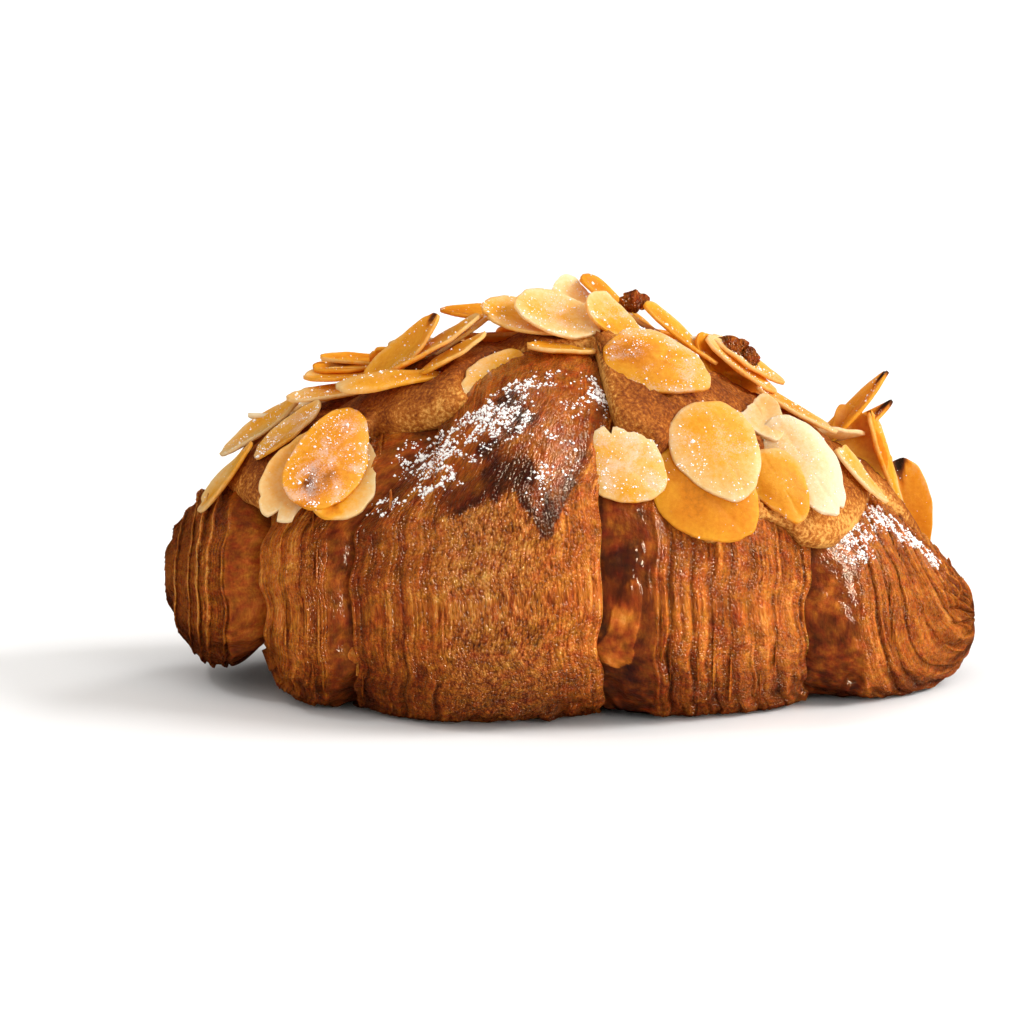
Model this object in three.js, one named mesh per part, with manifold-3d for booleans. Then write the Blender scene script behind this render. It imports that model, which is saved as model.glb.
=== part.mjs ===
// An almond croissant: a roll of laminated pastry in five wraps, its ends drawn back, almond cream
// spread along its ridge, and flaked almonds baked into the cream.
// Millimetres, +Z up, +X along the roll, -Y its front. The origin is the middle of its box, on the table.
import * as THREE from "three";
import { mergeVertices } from "three/addons/utils/BufferGeometryUtils.js";
import Module from "manifold-3d";

const { degToRad, lerp, smoothstep } = THREE.MathUtils;
const wasm = await Module();
wasm.setup();

// The pastry's roll. The ridge and the sides fall away from a rounded peak, by so much for each millimetre.
const LENGTH = 157;
const RIDGE = { peak: 65.5, at: 2, left: 0.42, right: 0.62, rounding: 9 };
const SIDES = { peak: 41, at: -9, left: 0.345, right: 0.33, rounding: 14 };
const WIDEST = 0.42; // height of a section's widest point, as a share of the ridge's height
const UPPER_POWER = 2.15; // superellipse powers of a section, above and below its widest point
const LOWER_POWER = 2.9;
const BEND = 16; // how far the tips lie back from the middle
const SINK = 3; // how far a section would reach under the table, which flattens it
const FOOT_ROUNDING = 2.5;
const LEFT_END = { long: 24, power: 2.5, height: 21, lift: 4, liftFrom: -40, liftTo: -64 };
const RIGHT_END = { long: 25, power: 2, height: 11 };

// Where one wrap's edge lies over the next: at the table, at the ridge, and how much further on at the back.
const EDGES = [
  { low: -57, high: -54, back: 3 },
  { low: -39.5, high: -23, back: -5 },
  { low: 4.5, high: 8, back: 5 },
  { low: 43, high: 37, back: -4 },
];
const EDGE_LEAN_FROM = 0.68; // share of the climb from table to ridge where the edges start to lean

// Each wrap swells by puff, dips by tuck where it runs under its neighbour, and rolls in by roll at its free
// edge. under is the side that its neighbour covers. ridges are the cut dough layers, from and to shares of
// the wrap.
const WRAPS = [
  {
    puff: 1.5, tuck: 6.5, roll: 0, under: "right", plain: 5,
    ridges: { from: 0.06, to: 0.62, count: 5, depth: 1.5 },
  },
  {
    puff: 1.8, tuck: 3.2, roll: 3, under: "right", plain: 3,
    ridges: { from: 0.05, to: 0.65, count: 4, depth: 0.6 },
  },
  {
    puff: 2.6, tuck: 0, roll: 1, under: "none", plain: 9,
    ridges: { from: 0.02, to: 0.3, count: 3, depth: 0.7 },
  },
  {
    puff: 2, tuck: 3, roll: 1, under: "left", plain: 4,
    ridges: { from: 0.27, to: 0.99, count: 7, depth: 1.3 },
  },
  {
    puff: 2.4, tuck: 3, roll: 0, under: "left", plain: 5,
    ridges: { from: 0.3, to: 0.94, count: 8, depth: 1.4 },
  },
];
const PUFF_DIP = 2.5; // how sharply a wrap dips towards the edge that is covered
const EDGE_ROLL = 8; // how sharply it rolls in at the free edge
const LAP = 0.5; // how far a free edge stands over the wrap beside it
const RIDGE_JITTER = 0.3; // unevenness of the ridges' spacing
const LUMPS = [
  { height: 0.7, along: 0.11, round: 2, phase: 1 },
  { height: 0.45, along: 0.19, round: -3, phase: 4 },
];
const AROUND = 34; // facets round the roll

// Almond cream: lobes along the ridge, each with its reach down the front and back in degrees round the roll.
const GAP = 0.4; // between the crust and the cream
const CREAM_LOBES = [
  { at: -51, half: 15, front: 50, back: 45, thick: 5.5 },
  { at: -28, half: 16, front: 29, back: 42, thick: 8 },
  { at: -1, half: 17, front: 10, back: 36, thick: 6 },
  { at: 22, half: 18, front: 72, back: 58, thick: 6.5 },
  { at: 43, half: 14, front: 60, back: 50, thick: 6.5 },
  { at: 58, half: 10, front: 8, back: 56, thick: 5 },
];
const LOBE_BLEND = 4; // power that blends the lobes
const CREAM_EDGE = 0.55; // power of the cream's rounded margin
const CREAM_UNDER = 9; // how far the cream's blank reaches into the pastry before it is cut to the crust
const CREAM_ROWS = 28;
const CREAM_COLUMNS = 16;

// Flaked almonds. The pointed end is narrower by FLAKE_TAPER, and each flake is dished by its curl.
const FLAKE_THICK = 1.1;
const FLAKE_SIDES = 9;
const FLAKE_TAPER = 0.22;

// One row for each flake that shows from the front: its place along the roll and in degrees round from the
// ridge, its height over the cream, how far its face leans to the front, its bank and its spin in degrees,
// then its size.
const FRONT_FLAKES = [
  // the left end
  { x: -65, round: 22, lift: 1.6, lean: 8, bank: 52, spin: 0, length: 17, width: 9, curl: 0.8 },
  { x: -59, round: 0, lift: 1, lean: 10, bank: 36, spin: 0, length: 19, width: 10, curl: 1.0 },
  { x: -53, round: 18, lift: 0.7, lean: 16, bank: 38, spin: 8, length: 16, width: 9, curl: 0.8 },
  { x: -51, round: 42, lift: 1.2, lean: 46, bank: 0, spin: 70, length: 21, width: 11, curl: 0.8 },
  { x: -42, round: 44, lift: 2.2, lean: 42, bank: 0, spin: 78, length: 20, width: 13, curl: 0.8 },
  { x: -44.5, round: 39, lift: 2.4, lean: 48, bank: 0, spin: 68, length: 24, width: 13.5, curl: 1.2 },
  // the sheaf that points to the left
  { x: -39, round: -24, lift: 6.6, lean: 0, bank: -2, spin: -8, length: 20, width: 11, curl: 0.6 },
  { x: -40, round: -17, lift: 4.8, lean: 2, bank: 4, spin: 10, length: 19, width: 10, curl: 0.8 },
  { x: -41, round: -9, lift: 3.2, lean: 2, bank: 5, spin: -8, length: 20, width: 10, curl: 0.7 },
  { x: -44, round: 0, lift: 1.8, lean: 2, bank: 7, spin: 6, length: 20, width: 11, curl: 0.8 },
  { x: -33.5, round: 14, lift: 1.4, lean: 4, bank: 6, spin: 0, length: 21, width: 11, curl: -1.4 },
  // sticks and a tongue on the left slope
  { x: -31.5, round: 0, lift: 1.4, lean: 20, bank: 46, spin: 0, length: 20, width: 11, curl: 1.6 },
  { x: -26, round: 4, lift: 1.2, lean: 2, bank: 32, spin: 0, length: 21, width: 11, curl: 0.8 },
  { x: -20, round: -2, lift: 2, lean: 4, bank: 33, spin: 6, length: 20, width: 10, curl: 0.7 },
  { x: -22, round: 12, lift: 0.8, lean: 2, bank: 32, spin: -6, length: 15, width: 9, curl: 0.6 },
  { x: -14, round: 16, lift: 1.2, lean: 42, bank: 0, spin: 46, length: 14.5, width: 10.5, curl: 0.8 },
  // the crown
  { x: -16, round: -8, lift: 5.2, lean: 6, bank: -2, spin: 0, length: 18, width: 11, curl: 0.8 },
  { x: -7, round: 2, lift: 1.4, lean: 20, bank: -10, spin: -4, length: 20, width: 12, curl: 1.0 },
  { x: -2.5, round: 4, lift: 1.2, lean: 32, bank: -14, spin: -10, length: 17, width: 12, curl: 1.2 },
  { x: -2, round: 14, lift: 1.4, lean: 0, bank: -5, spin: 0, length: 13, width: 8, curl: 0.6 },
  { x: 1, round: -6, lift: 3.2, lean: 40, bank: -22, spin: 0, length: 10, width: 8, curl: 0.6 },
  { x: 7.5, round: 4, lift: 1.4, lean: 40, bank: -38, spin: 0, length: 12, width: 8, curl: 0.9 },
  { x: 9, round: -9, lift: 3.4, lean: 4, bank: -36, spin: 0, length: 19, width: 11, curl: 0.8 },
  // shingles on the front of the right slope
  { x: 20.5, round: -4, lift: 2.6, lean: 6, bank: -40, spin: 0, length: 18, width: 10, curl: 0.8 },
  { x: 15.5, round: 22, lift: 0.8, lean: 46, bank: 0, spin: -24, length: 21, width: 13, curl: 1.2 },
  { x: 9, round: 57, lift: 1, lean: 66, bank: 0, spin: -40, length: 16.5, width: 14.5, curl: 1.0 },
  { x: 24, round: 60, lift: 0.2, lean: 62, bank: 0, spin: -48, length: 22, width: 17, curl: 1.2 },
  { x: 26, round: 48, lift: 2.8, lean: 58, bank: 0, spin: -58, length: 20.5, width: 15.5, curl: 1.4 },
  { x: 35.5, round: 22, lift: 0.8, lean: 42, bank: 0, spin: -66, length: 11, width: 7.5, curl: 0.6 },
  { x: 38, round: 46, lift: -0.4, lean: 54, bank: 0, spin: -62, length: 16, width: 10, curl: 0.8 },
  { x: 43, round: 38, lift: 2.2, lean: 54, bank: 0, spin: -60, length: 22.5, width: 11.5, curl: 1.2 },
  // slivers along the right ridge
  { x: 28, round: -8, lift: 0.8, lean: 30, bank: -58, spin: 0, length: 15, width: 9, curl: 0.8 },
  { x: 32, round: -6, lift: 3.8, lean: 8, bank: -38, spin: 0, length: 17, width: 10, curl: 0.9 },
  { x: 33.5, round: -12, lift: 5.8, lean: 6, bank: -33, spin: 6, length: 17, width: 10, curl: 0.8 },
  { x: 42.5, round: 0, lift: 1, lean: 2, bank: -29, spin: 0, length: 18, width: 10, curl: 0.7 },
  { x: 54, round: 20, lift: 0.6, lean: 10, bank: -48, spin: 0, length: 15, width: 9, curl: 0.8 },
  // the tuft that stands at the right end
  { x: 53.5, round: -16, lift: 7, lean: 8, bank: 48, spin: 0, length: 24, width: 9, curl: 0.8 },
  { x: 55, round: -24, lift: 6, lean: 12, bank: 38, spin: 0, length: 20, width: 9, curl: 0.8 },
  { x: 55.5, round: -14, lift: 2.5, lean: 68, bank: 0, spin: 104, length: 18, width: 10, curl: 0.9 },
  { x: 61, round: -14, lift: 4.2, lean: 12, bank: -70, spin: 0, length: 22, width: 10, curl: 0.7 },
  { x: 66, round: -34, lift: 5.4, lean: 74, bank: 0, spin: -80, length: 21, width: 10.5, curl: 1.0 },
];

// The back's flakes lie on the cream, spread along it by steps of irrational ratios. nearest and furthest are
// shares of the cream's reach, slim is a flake's width for each millimetre of its length.
const BACK_FLAKES = {
  count: 20, from: -58, to: 58, nearest: 0.3, furthest: 0.85,
  smallest: 14, largest: 20, slim: 0.62,
};
const STEPS = { round: 0.618034, spin: 0.414214, size: 0.732051, lift: 0.236068 };

// Height at x of a line that falls away on both sides of a rounded peak.
function tent(x, { peak, at, left, right, rounding }) {
  const away = x - at;
  return peak - (away < 0 ? left : right) * (Math.hypot(away, rounding) - rounding);
}

// A value's power that keeps its sign, for superellipses.
function signedPower(value, power) {
  return Math.sign(value) * Math.abs(value) ** power;
}

// How far a section has opened, from 0 at a tip to 1 past the rounded end.
function opening(x) {
  const end = (distance, { long, power }) => {
    const left = 1 - THREE.MathUtils.clamp(distance / long, 0, 1);
    return (1 - left ** power) ** (1 / power);
  };
  return end(x + LENGTH / 2, LEFT_END) * end(LENGTH / 2 - x, RIGHT_END);
}

// The table: what would reach under it is flattened, with a rounded foot.
function onTable(z) {
  if (z > FOOT_ROUNDING) return z;
  return Math.max(0, z + FOOT_ROUNDING) ** 2 / (4 * FOOT_ROUNDING);
}

// A point of the smooth roll at x, at an angle round the section (0 front, a quarter turn the ridge), moved
// outward.
function rollPoint(x, angle, outward) {
  const height = tent(x, RIDGE);
  const widest = WIDEST * height;
  const lift = LEFT_END.lift * (1 - smoothstep(x, LEFT_END.liftTo, LEFT_END.liftFrom));
  const c = Math.cos(angle);
  const s = Math.sin(angle);
  const power = 2 / (s > 0 ? UPPER_POWER : LOWER_POWER);
  const reach = s > 0 ? height - widest : widest + SINK - lift;
  const y = -tent(x, SIDES) * signedPower(c, power) - outward * c;
  const z = widest + reach * signedPower(s, power) + outward * s;
  const open = opening(x);
  const middle = (height + lift) / 2;
  const tip = x < 0 ? LEFT_END.height : RIGHT_END.height;
  const centre = lerp(tip, middle, open);
  const back = BEND * (x / (LENGTH / 2)) ** 2;
  return new THREE.Vector3(x, y * open + back, onTable(centre + (z - middle) * open));
}

// Where wrap number k starts, at an angle round the section.
function edgeAt(k, angle) {
  if (k === 0) return -LENGTH / 2;
  if (k === WRAPS.length) return LENGTH / 2;
  const { low, high, back } = EDGES[k - 1];
  const climb = smoothstep((1 + Math.sin(angle)) / 2, EDGE_LEAN_FROM, 1);
  return lerp(low, high, climb) + back * smoothstep(-Math.cos(angle), 0, 1);
}

// A wrap's swell over the smooth roll, at a share of the way across it from left to right.
function swell({ puff, tuck, roll, under }, share) {
  const round = puff * 4 * share * (1 - share);
  if (under === "none") return round - roll * (share ** EDGE_ROLL + (1 - share) ** EDGE_ROLL);
  const free = under === "left" ? share : 1 - share;
  return round - tuck * (1 - free) ** PUFF_DIP - roll * free ** EDGE_ROLL;
}

// The rings of points across a wrap: two for each ridge of cut layers, a crest and a groove, and plain ones.
function ringsOf({ ridges, plain, under }, k) {
  const rings = [];
  const steps = 2 * ridges.count;
  for (let i = 0; i <= steps; i++) {
    const uneven = i > 0 && i < steps ? RIDGE_JITTER * Math.sin(2.3 * i + k) : 0;
    const share = lerp(ridges.from, ridges.to, (i + uneven) / steps);
    rings.push({ k, share, crest: ((i % 2 === 0 ? 1 : -1) * ridges.depth) / 2 });
  }
  const gapFrom = under === "left" ? 0 : ridges.to;
  const gapTo = under === "left" ? ridges.from : 1;
  for (let i = 1; i <= plain; i++) {
    const share = lerp(gapFrom, gapTo, (i - (under === "left" ? 1 : 0)) / plain);
    rings.push({ k, share, crest: 0 });
  }
  return rings.sort((a, b) => a.share - b.share);
}

// The pastry's surface at a ring and an angle. Free edges stand a little over their neighbours.
function crustPoint({ k, share, crest }, angle) {
  const wrap = WRAPS[k];
  const x = lerp(edgeAt(k, angle), edgeAt(k + 1, angle), share);
  const inner = k > 0 && k < WRAPS.length - 1;
  const lap = inner ? LAP * (2 * share - 1) ** 9 : 0;
  const uneven = 0.75 + 0.25 * Math.sin(3 * angle + 2 * share * wrap.ridges.count + k);
  let out = swell(wrap, share) + crest * uneven;
  for (const lump of LUMPS) {
    out += lump.height * Math.sin(lump.along * x + lump.round * angle + lump.phase);
  }
  const point = rollPoint(x, angle, out);
  point.x += lap;
  return point;
}

// A sphere whose rows and columns are moved to where place(row, column share) says. Its poles are the ends.
function shapedSphere(columns, rows, place) {
  const geometry = new THREE.SphereGeometry(1, columns, rows);
  const { position, uv } = geometry.attributes;
  for (let i = 0; i < position.count; i++) {
    const row = Math.round((1 - uv.getY(i)) * rows);
    position.setXYZ(i, ...place(row, uv.getX(i)));
  }
  return geometry;
}

// The closed crust.
function crust() {
  const rings = WRAPS.flatMap(ringsOf);
  const leftTip = new THREE.Vector3(-LENGTH / 2, BEND, LEFT_END.height);
  const rightTip = new THREE.Vector3(LENGTH / 2, BEND, RIGHT_END.height);
  return shapedSphere(AROUND, rings.length + 1, (row, turn) => {
    if (row === 0) return leftTip;
    if (row > rings.length) return rightTip;
    return crustPoint(rings[row - 1], (turn % 1) * 2 * Math.PI);
  });
}

// A geometry with each corner moved out along its normal.
function grown(geometry, by) {
  const { position, normal } = geometry.attributes;
  for (let i = 0; i < position.count; i++) {
    position.setX(i, position.getX(i) + by * normal.getX(i));
    position.setY(i, position.getY(i) + by * normal.getY(i));
    position.setZ(i, position.getZ(i) + by * normal.getZ(i));
  }
  return geometry;
}

// The blend of every lobe's value at x, such as its reach or its thickness.
function lobes(x, name) {
  let sum = 0;
  for (const lobe of CREAM_LOBES) {
    const weight = Math.sqrt(Math.max(0, 1 - ((x - lobe.at) / lobe.half) ** 2));
    sum += (lobe[name] * weight) ** LOBE_BLEND;
  }
  return sum ** (1 / LOBE_BLEND);
}

// The cream's thickness at x, so many degrees round from the ridge.
function creamThickness(x, round) {
  const share = Math.abs(round) / Math.max(lobes(x, round > 0 ? "front" : "back"), 1);
  return share < 1 ? lobes(x, "thick") * (1 - share ** 2) ** (CREAM_EDGE / 2) : 0;
}

// A point on the cream, or that much above it.
function creamPoint(x, round, above) {
  return rollPoint(x, degToRad(90 - round), creamThickness(x, round) + above);
}

// The cream as a blank that reaches into the pastry.
function creamBlank() {
  const start = CREAM_LOBES[0].at - CREAM_LOBES[0].half;
  const last = CREAM_LOBES[CREAM_LOBES.length - 1];
  const end = last.at + last.half;
  return shapedSphere(CREAM_COLUMNS, CREAM_ROWS, (row, turn) => {
    const x = lerp(start, end, (1 - Math.cos((Math.PI * row) / CREAM_ROWS)) / 2);
    if (row === 0 || row === CREAM_ROWS) return rollPoint(x, Math.PI / 2, 0);
    const across = Math.cos((turn % 1) * 2 * Math.PI);
    const round = across * lobes(x, across > 0 ? "front" : "back");
    if (turn % 1 <= 0.5) return creamPoint(x, round, 0);
    const under = CREAM_UNDER * Math.sin((turn % 1) * 2 * Math.PI) * opening(x);
    return rollPoint(x, degToRad(90 - round), under);
  });
}

// One almond flake: a low cylinder whose rim is pushed out to a drop's outline, then dished.
function flake({ x, round, lift, lean, bank, spin, length, width, curl }) {
  const geometry = new THREE.CylinderGeometry(1, 1, FLAKE_THICK, FLAKE_SIDES, 1).rotateX(Math.PI / 2);
  const { position } = geometry.attributes;
  for (let i = 0; i < position.count; i++) {
    const along = position.getX(i);
    const across = position.getY(i) * (1 - FLAKE_TAPER * along);
    const dish = curl * (along ** 2 + across ** 2 - 0.5);
    position.setXYZ(i, (along * length) / 2, (across * width) / 2, position.getZ(i) + dish);
  }
  const tilt = new THREE.Euler(degToRad(lean), -degToRad(bank), degToRad(spin), "YXZ");
  const place = new THREE.Matrix4().makeRotationFromEuler(tilt).setPosition(creamPoint(x, round, lift));
  return geometry.applyMatrix4(place);
}

// The flakes at the back, which the rule spreads out.
function backFlakes() {
  const { count, from, to, nearest, furthest, smallest, largest, slim } = BACK_FLAKES;
  return Array.from({ length: count }, (_, i) => {
    const step = (name) => (i * STEPS[name]) % 1;
    const x = lerp(from, to, (i + 0.5) / count);
    const round = -lobes(x, "back") * lerp(nearest, furthest, step("round"));
    const length = lerp(smallest, largest, step("size"));
    return {
      x,
      round,
      lift: lerp(0.2, 1.2, step("lift")),
      lean: round,
      bank: 0,
      spin: 360 * step("spin"),
      length,
      width: slim * length,
      curl: 1,
    };
  });
}

// A closed geometry as a solid that can be joined and cut, and back.
function solidOf(geometry) {
  geometry.deleteAttribute("normal");
  geometry.deleteAttribute("uv");
  const merged = mergeVertices(geometry, 1e-4);
  const triVerts = new Uint32Array(merged.index.array);
  const vertProperties = merged.attributes.position.array;
  return new wasm.Manifold(new wasm.Mesh({ numProp: 3, vertProperties, triVerts }));
}
function geometryOf(solid) {
  const { vertProperties, triVerts } = solid.getMesh();
  const geometry = new THREE.BufferGeometry();
  geometry.setAttribute("position", new THREE.BufferAttribute(vertProperties, 3));
  geometry.setIndex(new THREE.BufferAttribute(triVerts, 1));
  geometry.computeVertexNormals();
  return geometry;
}

// The cream with its flakes, cut to the crust that it lies on. Scraps that the cut leaves loose are dropped.
function topping() {
  let solid = solidOf(creamBlank());
  for (const row of [...FRONT_FLAKES, ...backFlakes()]) solid = solid.add(solidOf(flake(row)));
  const cutter = solidOf(grown(geometryOf(solidOf(crust())), GAP));
  const pieces = solid.subtract(cutter).decompose();
  return pieces.reduce((largest, piece) => (piece.volume() > largest.volume() ? piece : largest));
}

const crustLook = new THREE.MeshStandardMaterial({ color: 0xa9632c, roughness: 0.5, metalness: 0 });
const toppingLook = new THREE.MeshStandardMaterial({ color: 0xe0b066, roughness: 0.55, metalness: 0 });

const pastry = new THREE.Mesh(geometryOf(solidOf(crust())), crustLook);
pastry.name = "pastry";
const almondCream = new THREE.Mesh(geometryOf(topping()), toppingLook);
almondCream.name = "almond_cream";

const croissant = new THREE.Group();
croissant.add(pastry, almondCream);
const box = new THREE.Box3().setFromObject(croissant);
const middle = box.getCenter(new THREE.Vector3());
for (const mesh of croissant.children) mesh.position.set(-middle.x, -middle.y, -box.min.z);

export default croissant;
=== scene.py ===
"""An almond croissant: laminated crust, almond cream, flaked almonds, icing sugar and loose crust."""

import math

import bpy
import numpy as np
from mathutils import Matrix, Vector


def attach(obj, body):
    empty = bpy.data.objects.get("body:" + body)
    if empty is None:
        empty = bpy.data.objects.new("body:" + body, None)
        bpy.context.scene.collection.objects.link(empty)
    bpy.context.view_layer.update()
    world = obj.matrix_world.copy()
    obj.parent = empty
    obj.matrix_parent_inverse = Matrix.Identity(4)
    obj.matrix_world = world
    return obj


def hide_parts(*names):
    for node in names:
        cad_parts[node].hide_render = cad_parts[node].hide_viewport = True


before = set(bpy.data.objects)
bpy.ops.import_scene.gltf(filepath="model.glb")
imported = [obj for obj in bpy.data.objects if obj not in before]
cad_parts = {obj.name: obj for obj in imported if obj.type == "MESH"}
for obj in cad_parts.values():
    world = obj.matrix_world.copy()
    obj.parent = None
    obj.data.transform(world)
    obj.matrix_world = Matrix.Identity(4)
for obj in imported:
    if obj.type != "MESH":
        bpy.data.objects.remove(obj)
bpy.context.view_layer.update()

MM = 0.001  # the sizes below are in millimetres
SET_FORWARD = 0.047  # how far the roll's axis lies behind the middle of the whole box

# The pastry's roll. The ridge and the sides fall away from a rounded peak, by so much for each millimetre.
LENGTH = 157.0
RIDGE = dict(peak=65.5, at=2.0, left=0.42, right=0.62, rounding=9.0)
SIDES = dict(peak=41.0, at=-9.0, left=0.345, right=0.33, rounding=14.0)
WIDEST = 0.42  # height of a section's widest point, as a share of the ridge's height
UPPER_POWER, LOWER_POWER = 2.15, 2.9  # superellipse powers of a section, above and below its widest point
BEND = 16.0  # how far the tips lie back from the middle
SINK = 3.0  # how far a section would reach under the table, which flattens it
FOOT_ROUNDING = 2.5
LEFT_END = dict(long=24.0, power=2.5)  # the rounded ends: how long, and the power of their curve
RIGHT_END = dict(long=25.0, power=2.0)
LEFT_TIP_HEIGHT, RIGHT_TIP_HEIGHT = 21.0, 11.0
LEFT_LIFT = 4.0  # how far the left end's underside rises off the table, between two places
LIFT_FROM, LIFT_TO = -40.0, -64.0

# Where one wrap's edge lies over the next: at the table, at the ridge, and how much further on at the back.
EDGES = [(-57, -54, 3), (-39.5, -23, -5), (4.5, 8, 5), (43, 37, -4)]
EDGE_LEAN_FROM = 0.68  # share of the climb from table to ridge where the edges start to lean
EDGE_WAVER = 0.8

# Each wrap's swell, its dip and the side that its neighbour covers, then how its cut layers lie: where they
# run across it, how many stand out, how deep they are and how far they fan out towards the table. layers are
# the thin ones between those, as a spacing, a height and how sharp their edges are, and streaks how much they
# differ in baking. patchy is how uneven the smooth part's baking is. grain is how blistered the crust is and
# bake how dark, each as values at places across the wrap.
WRAPS = [
    dict(
        puff=1.5, tuck=6.5, roll=0, under="right", rings=150,
        cut=(0.06, 0.62), count=5, depth=2.4, fan=0, layers=[(0.9, 0.2, 1.5)], streaks=0.05, patchy=0.15,
        grain=[(0, 0.5), (0.6, 0.5), (0.68, 0.02)],
        bake=[(0, 0.46), (0.12, 0.31), (0.5, 0.25), (0.62, 0.38), (0.7, 0.58), (0.9, 0.46), (1, 0.52)],
    ),
    dict(
        puff=1.8, tuck=3.2, roll=3, under="right", rings=140,
        cut=(0, 0.66), count=4, depth=0.3, fan=0,
        layers=[(2.3, 0.5, 1.4), (0.85, 0.5, 1)], streaks=0.08, patchy=0.8,
        grain=[(0, 0.42), (0.6, 0.5), (0.7, 0.1), (1, 0.05)],
        bake=[(0, 0.36), (0.3, 0.38), (0.6, 0.42), (0.72, 0.58), (1, 0.56)],
    ),
    dict(
        puff=2.6, tuck=0, roll=1, under="none", rings=240,
        cut=(0, 0.38), count=3, depth=0.3, fan=0,
        layers=[(2.1, 0.5, 1.4), (0.85, 0.5, 1)], streaks=0.08, patchy=1,
        grain=[(0, 0.4), (0.3, 0.5), (0.45, 1), (0.76, 1), (0.84, 0.5), (1, 0.4)],
        bake=[(0, 0.5), (0.3, 0.41), (0.45, 0.33), (0.76, 0.34), (0.84, 0.34), (1, 0.26)],
    ),
    dict(
        puff=2, tuck=3, roll=1, under="left", rings=200,
        cut=(0.27, 0.99), count=7, depth=1.1, fan=0.05,
        layers=[(1.4, 0.7, 0.9), (0.7, 0.35, 1)], streaks=0.09, patchy=1,
        grain=[(0, 0.04), (0.24, 0.04), (0.34, 0.3), (1, 0.35)],
        bake=[(0, 0.74), (0.2, 0.68), (0.3, 0.46), (1, 0.44)],
    ),
    dict(
        puff=2.4, tuck=3, roll=0, under="left", rings=200,
        cut=(0.3, 1.26), count=11, depth=1.6, fan=0.4,
        layers=[(1.4, 0.65, 0.9), (0.7, 0.35, 1)], streaks=0.09, patchy=1,
        grain=[(0, 0.04), (0.27, 0.04), (0.33, 0.3), (1, 0.35)],
        bake=[(0, 0.68), (0.15, 0.6), (0.27, 0.6), (0.32, 0.43), (0.84, 0.38), (1, 0.56)],
    ),
]
LAST = len(WRAPS) - 1
FAN_LEVEL, FAN_TURN = 70.0, 60.0  # degrees round where the fan is straight, and from there to its full lean
STRIP_FROM, STRIP_TO = 0.8, 0.97  # shares of the middle wrap between which its right edge's layers lie
PUFF_DIP = 2.5  # how sharply a wrap dips towards the edge that is covered
EDGE_ROLL = 8  # how sharply it rolls in at the free edge
LAP, LAP_POWER = 0.5, 9  # how far a wrap's edges lap over, and how close to them that starts
RIDGE_JITTER = 0.3
RIDGE_UNEVEN = 0.25
LIP_AT, LIP_WIDE = 0.84, 0.1  # of the left end's layers, as shares of a layer
LIP_TONE_AND_SHADE = 2.6  # how much more those layers differ in tone than the others, with painted shade in the gaps between them
SHEET_DROP = 0.76  # share of a thin layer where it drops to the next
LUMPS = [(0.7, 0.11, 2, 1.0), (0.45, 0.19, -3, 4.0)]  # height, waves along and round the roll, start
COLUMNS = 300
TEXTURE_STEP = 60.0  # between the textures of one wrap and the next
UNDERSIDE, BACK_SIDE = -0.8, -0.25  # sine and cosine of the angles past which the columns are sparse
HIDDEN_RINGS = ((0.8, 0.7), (1.6, 3.0), (2.0, 9.0))  # along and inward, where a wrap runs on inside another
FREE_TURN = 0.4  # share of those lengths at a free edge, which turns in
TIP_START, TIP_CROWDING = 0.05, 1.5  # of the rings at the two tips
ARC_PER_DEGREE = 0.62  # millimetres round the section, about
FILM_THICK = 0.35  # of the burnt skin on the crust
FILM_LEVELS, FILM_SMOOTHS = 0.6, 0.7  # how much of the layers and of the blisters the skin hides
GLAZE_LEVELS, GLAZE_SMOOTHS = 0.5, 0.6  # the same for the glaze
GLAZE_BAKE = 0.1
CREASE_DEEP = 0.3  # of the wrinkles in the skin
SKIN_BAKE, BURNT_BAKE, AMBER_BAKE = 0.48, 0.9, 0.42  # of the skin, its burns and the clear film
FOOT_BAKE, TOP_BAKE = 0.2, 0.06  # how much darker the crust is near the table and along the ridge
FOOT_SPAN, TOP_SPAN = (100, 125), (20, 60)  # degrees round from the ridge over which that comes and goes
FLECK_HIGH = 0.16
TIP_LIPS = 1.3  # how far the layers stand out at the right tip, against the rest of their wrap
STEP_GAIN = -0.5  # what is added to the left end's layers near the table, as a share of them
FOOT_TURN = (75, 130)  # degrees round from the ridge where the crust turns ragged, and where it is most so
NECK_LIFT = 4.0  # how far the crust is drawn up under the left end's neck
SPIRAL_DEPTH, SPIRAL_TURNS = 1.6, 3.5  # of the rolled layers that show on the left tip
FINGER_TURN, FINGER_FROM = 17.0, 12.0  # degrees round of each layer's end at the right tip, and their start
FINGER_LONG, FINGER_HIGH = 2.0, 0.9

# Noise, as rows of its height, the size of its bumps along its first and its second axis, and its seed. The
# axes are the arc and the share of the wrap for what runs across a wrap, and the length and the arc, or the
# place and the degrees round, for what lies on the crust.
WORN = [(0.035, 9, 1 / 4, 20), (0.02, 2.5, 1 / 8, 25)]
WANDER = [(0.025, 40, 1 / 5, 40), (0.005, 12, 1 / 12, 45)]
TIP_EDGE = [(0.2, 9, 1 / 6, 111)]
FINGER_BEND = [(0.6, 14, 1, 110)]
FINGER_SWAY = [(0.3, 6, 1 / 9, 112)]
LIP_RAGS = [(0.6, 6, 1 / 9, 113)]
FLECKS = [(1.0, 0.75, 1.1, 90)]
BUBBLES = [(0.15, 2.6, 2.8, 100)]
CREASES = [(1.0, 1.6, 2.2, 105)]
MOTTLE = [(0.14, 2.4, 3.2, 65), (0.12, 1.0, 1.3, 75)]
FOOT_RAGS = [(1.0, 2.2, 5, 60)]
FOOT_GAPS = [(1.0, 6, 40, 61)]
BURN_RAGS = [(0.6, 3.0, 5, 82), (0.5, 1.0, 1.6, 83)]
BLOTCHES = [(0.06, 9, 14, 80), (0.05, 3.0, 5, 81)]
CREAM_RAGS = [(0.07, 7, 1 / 2, 90), (0.015, 2.2, 1 / 2, 91)]
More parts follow.
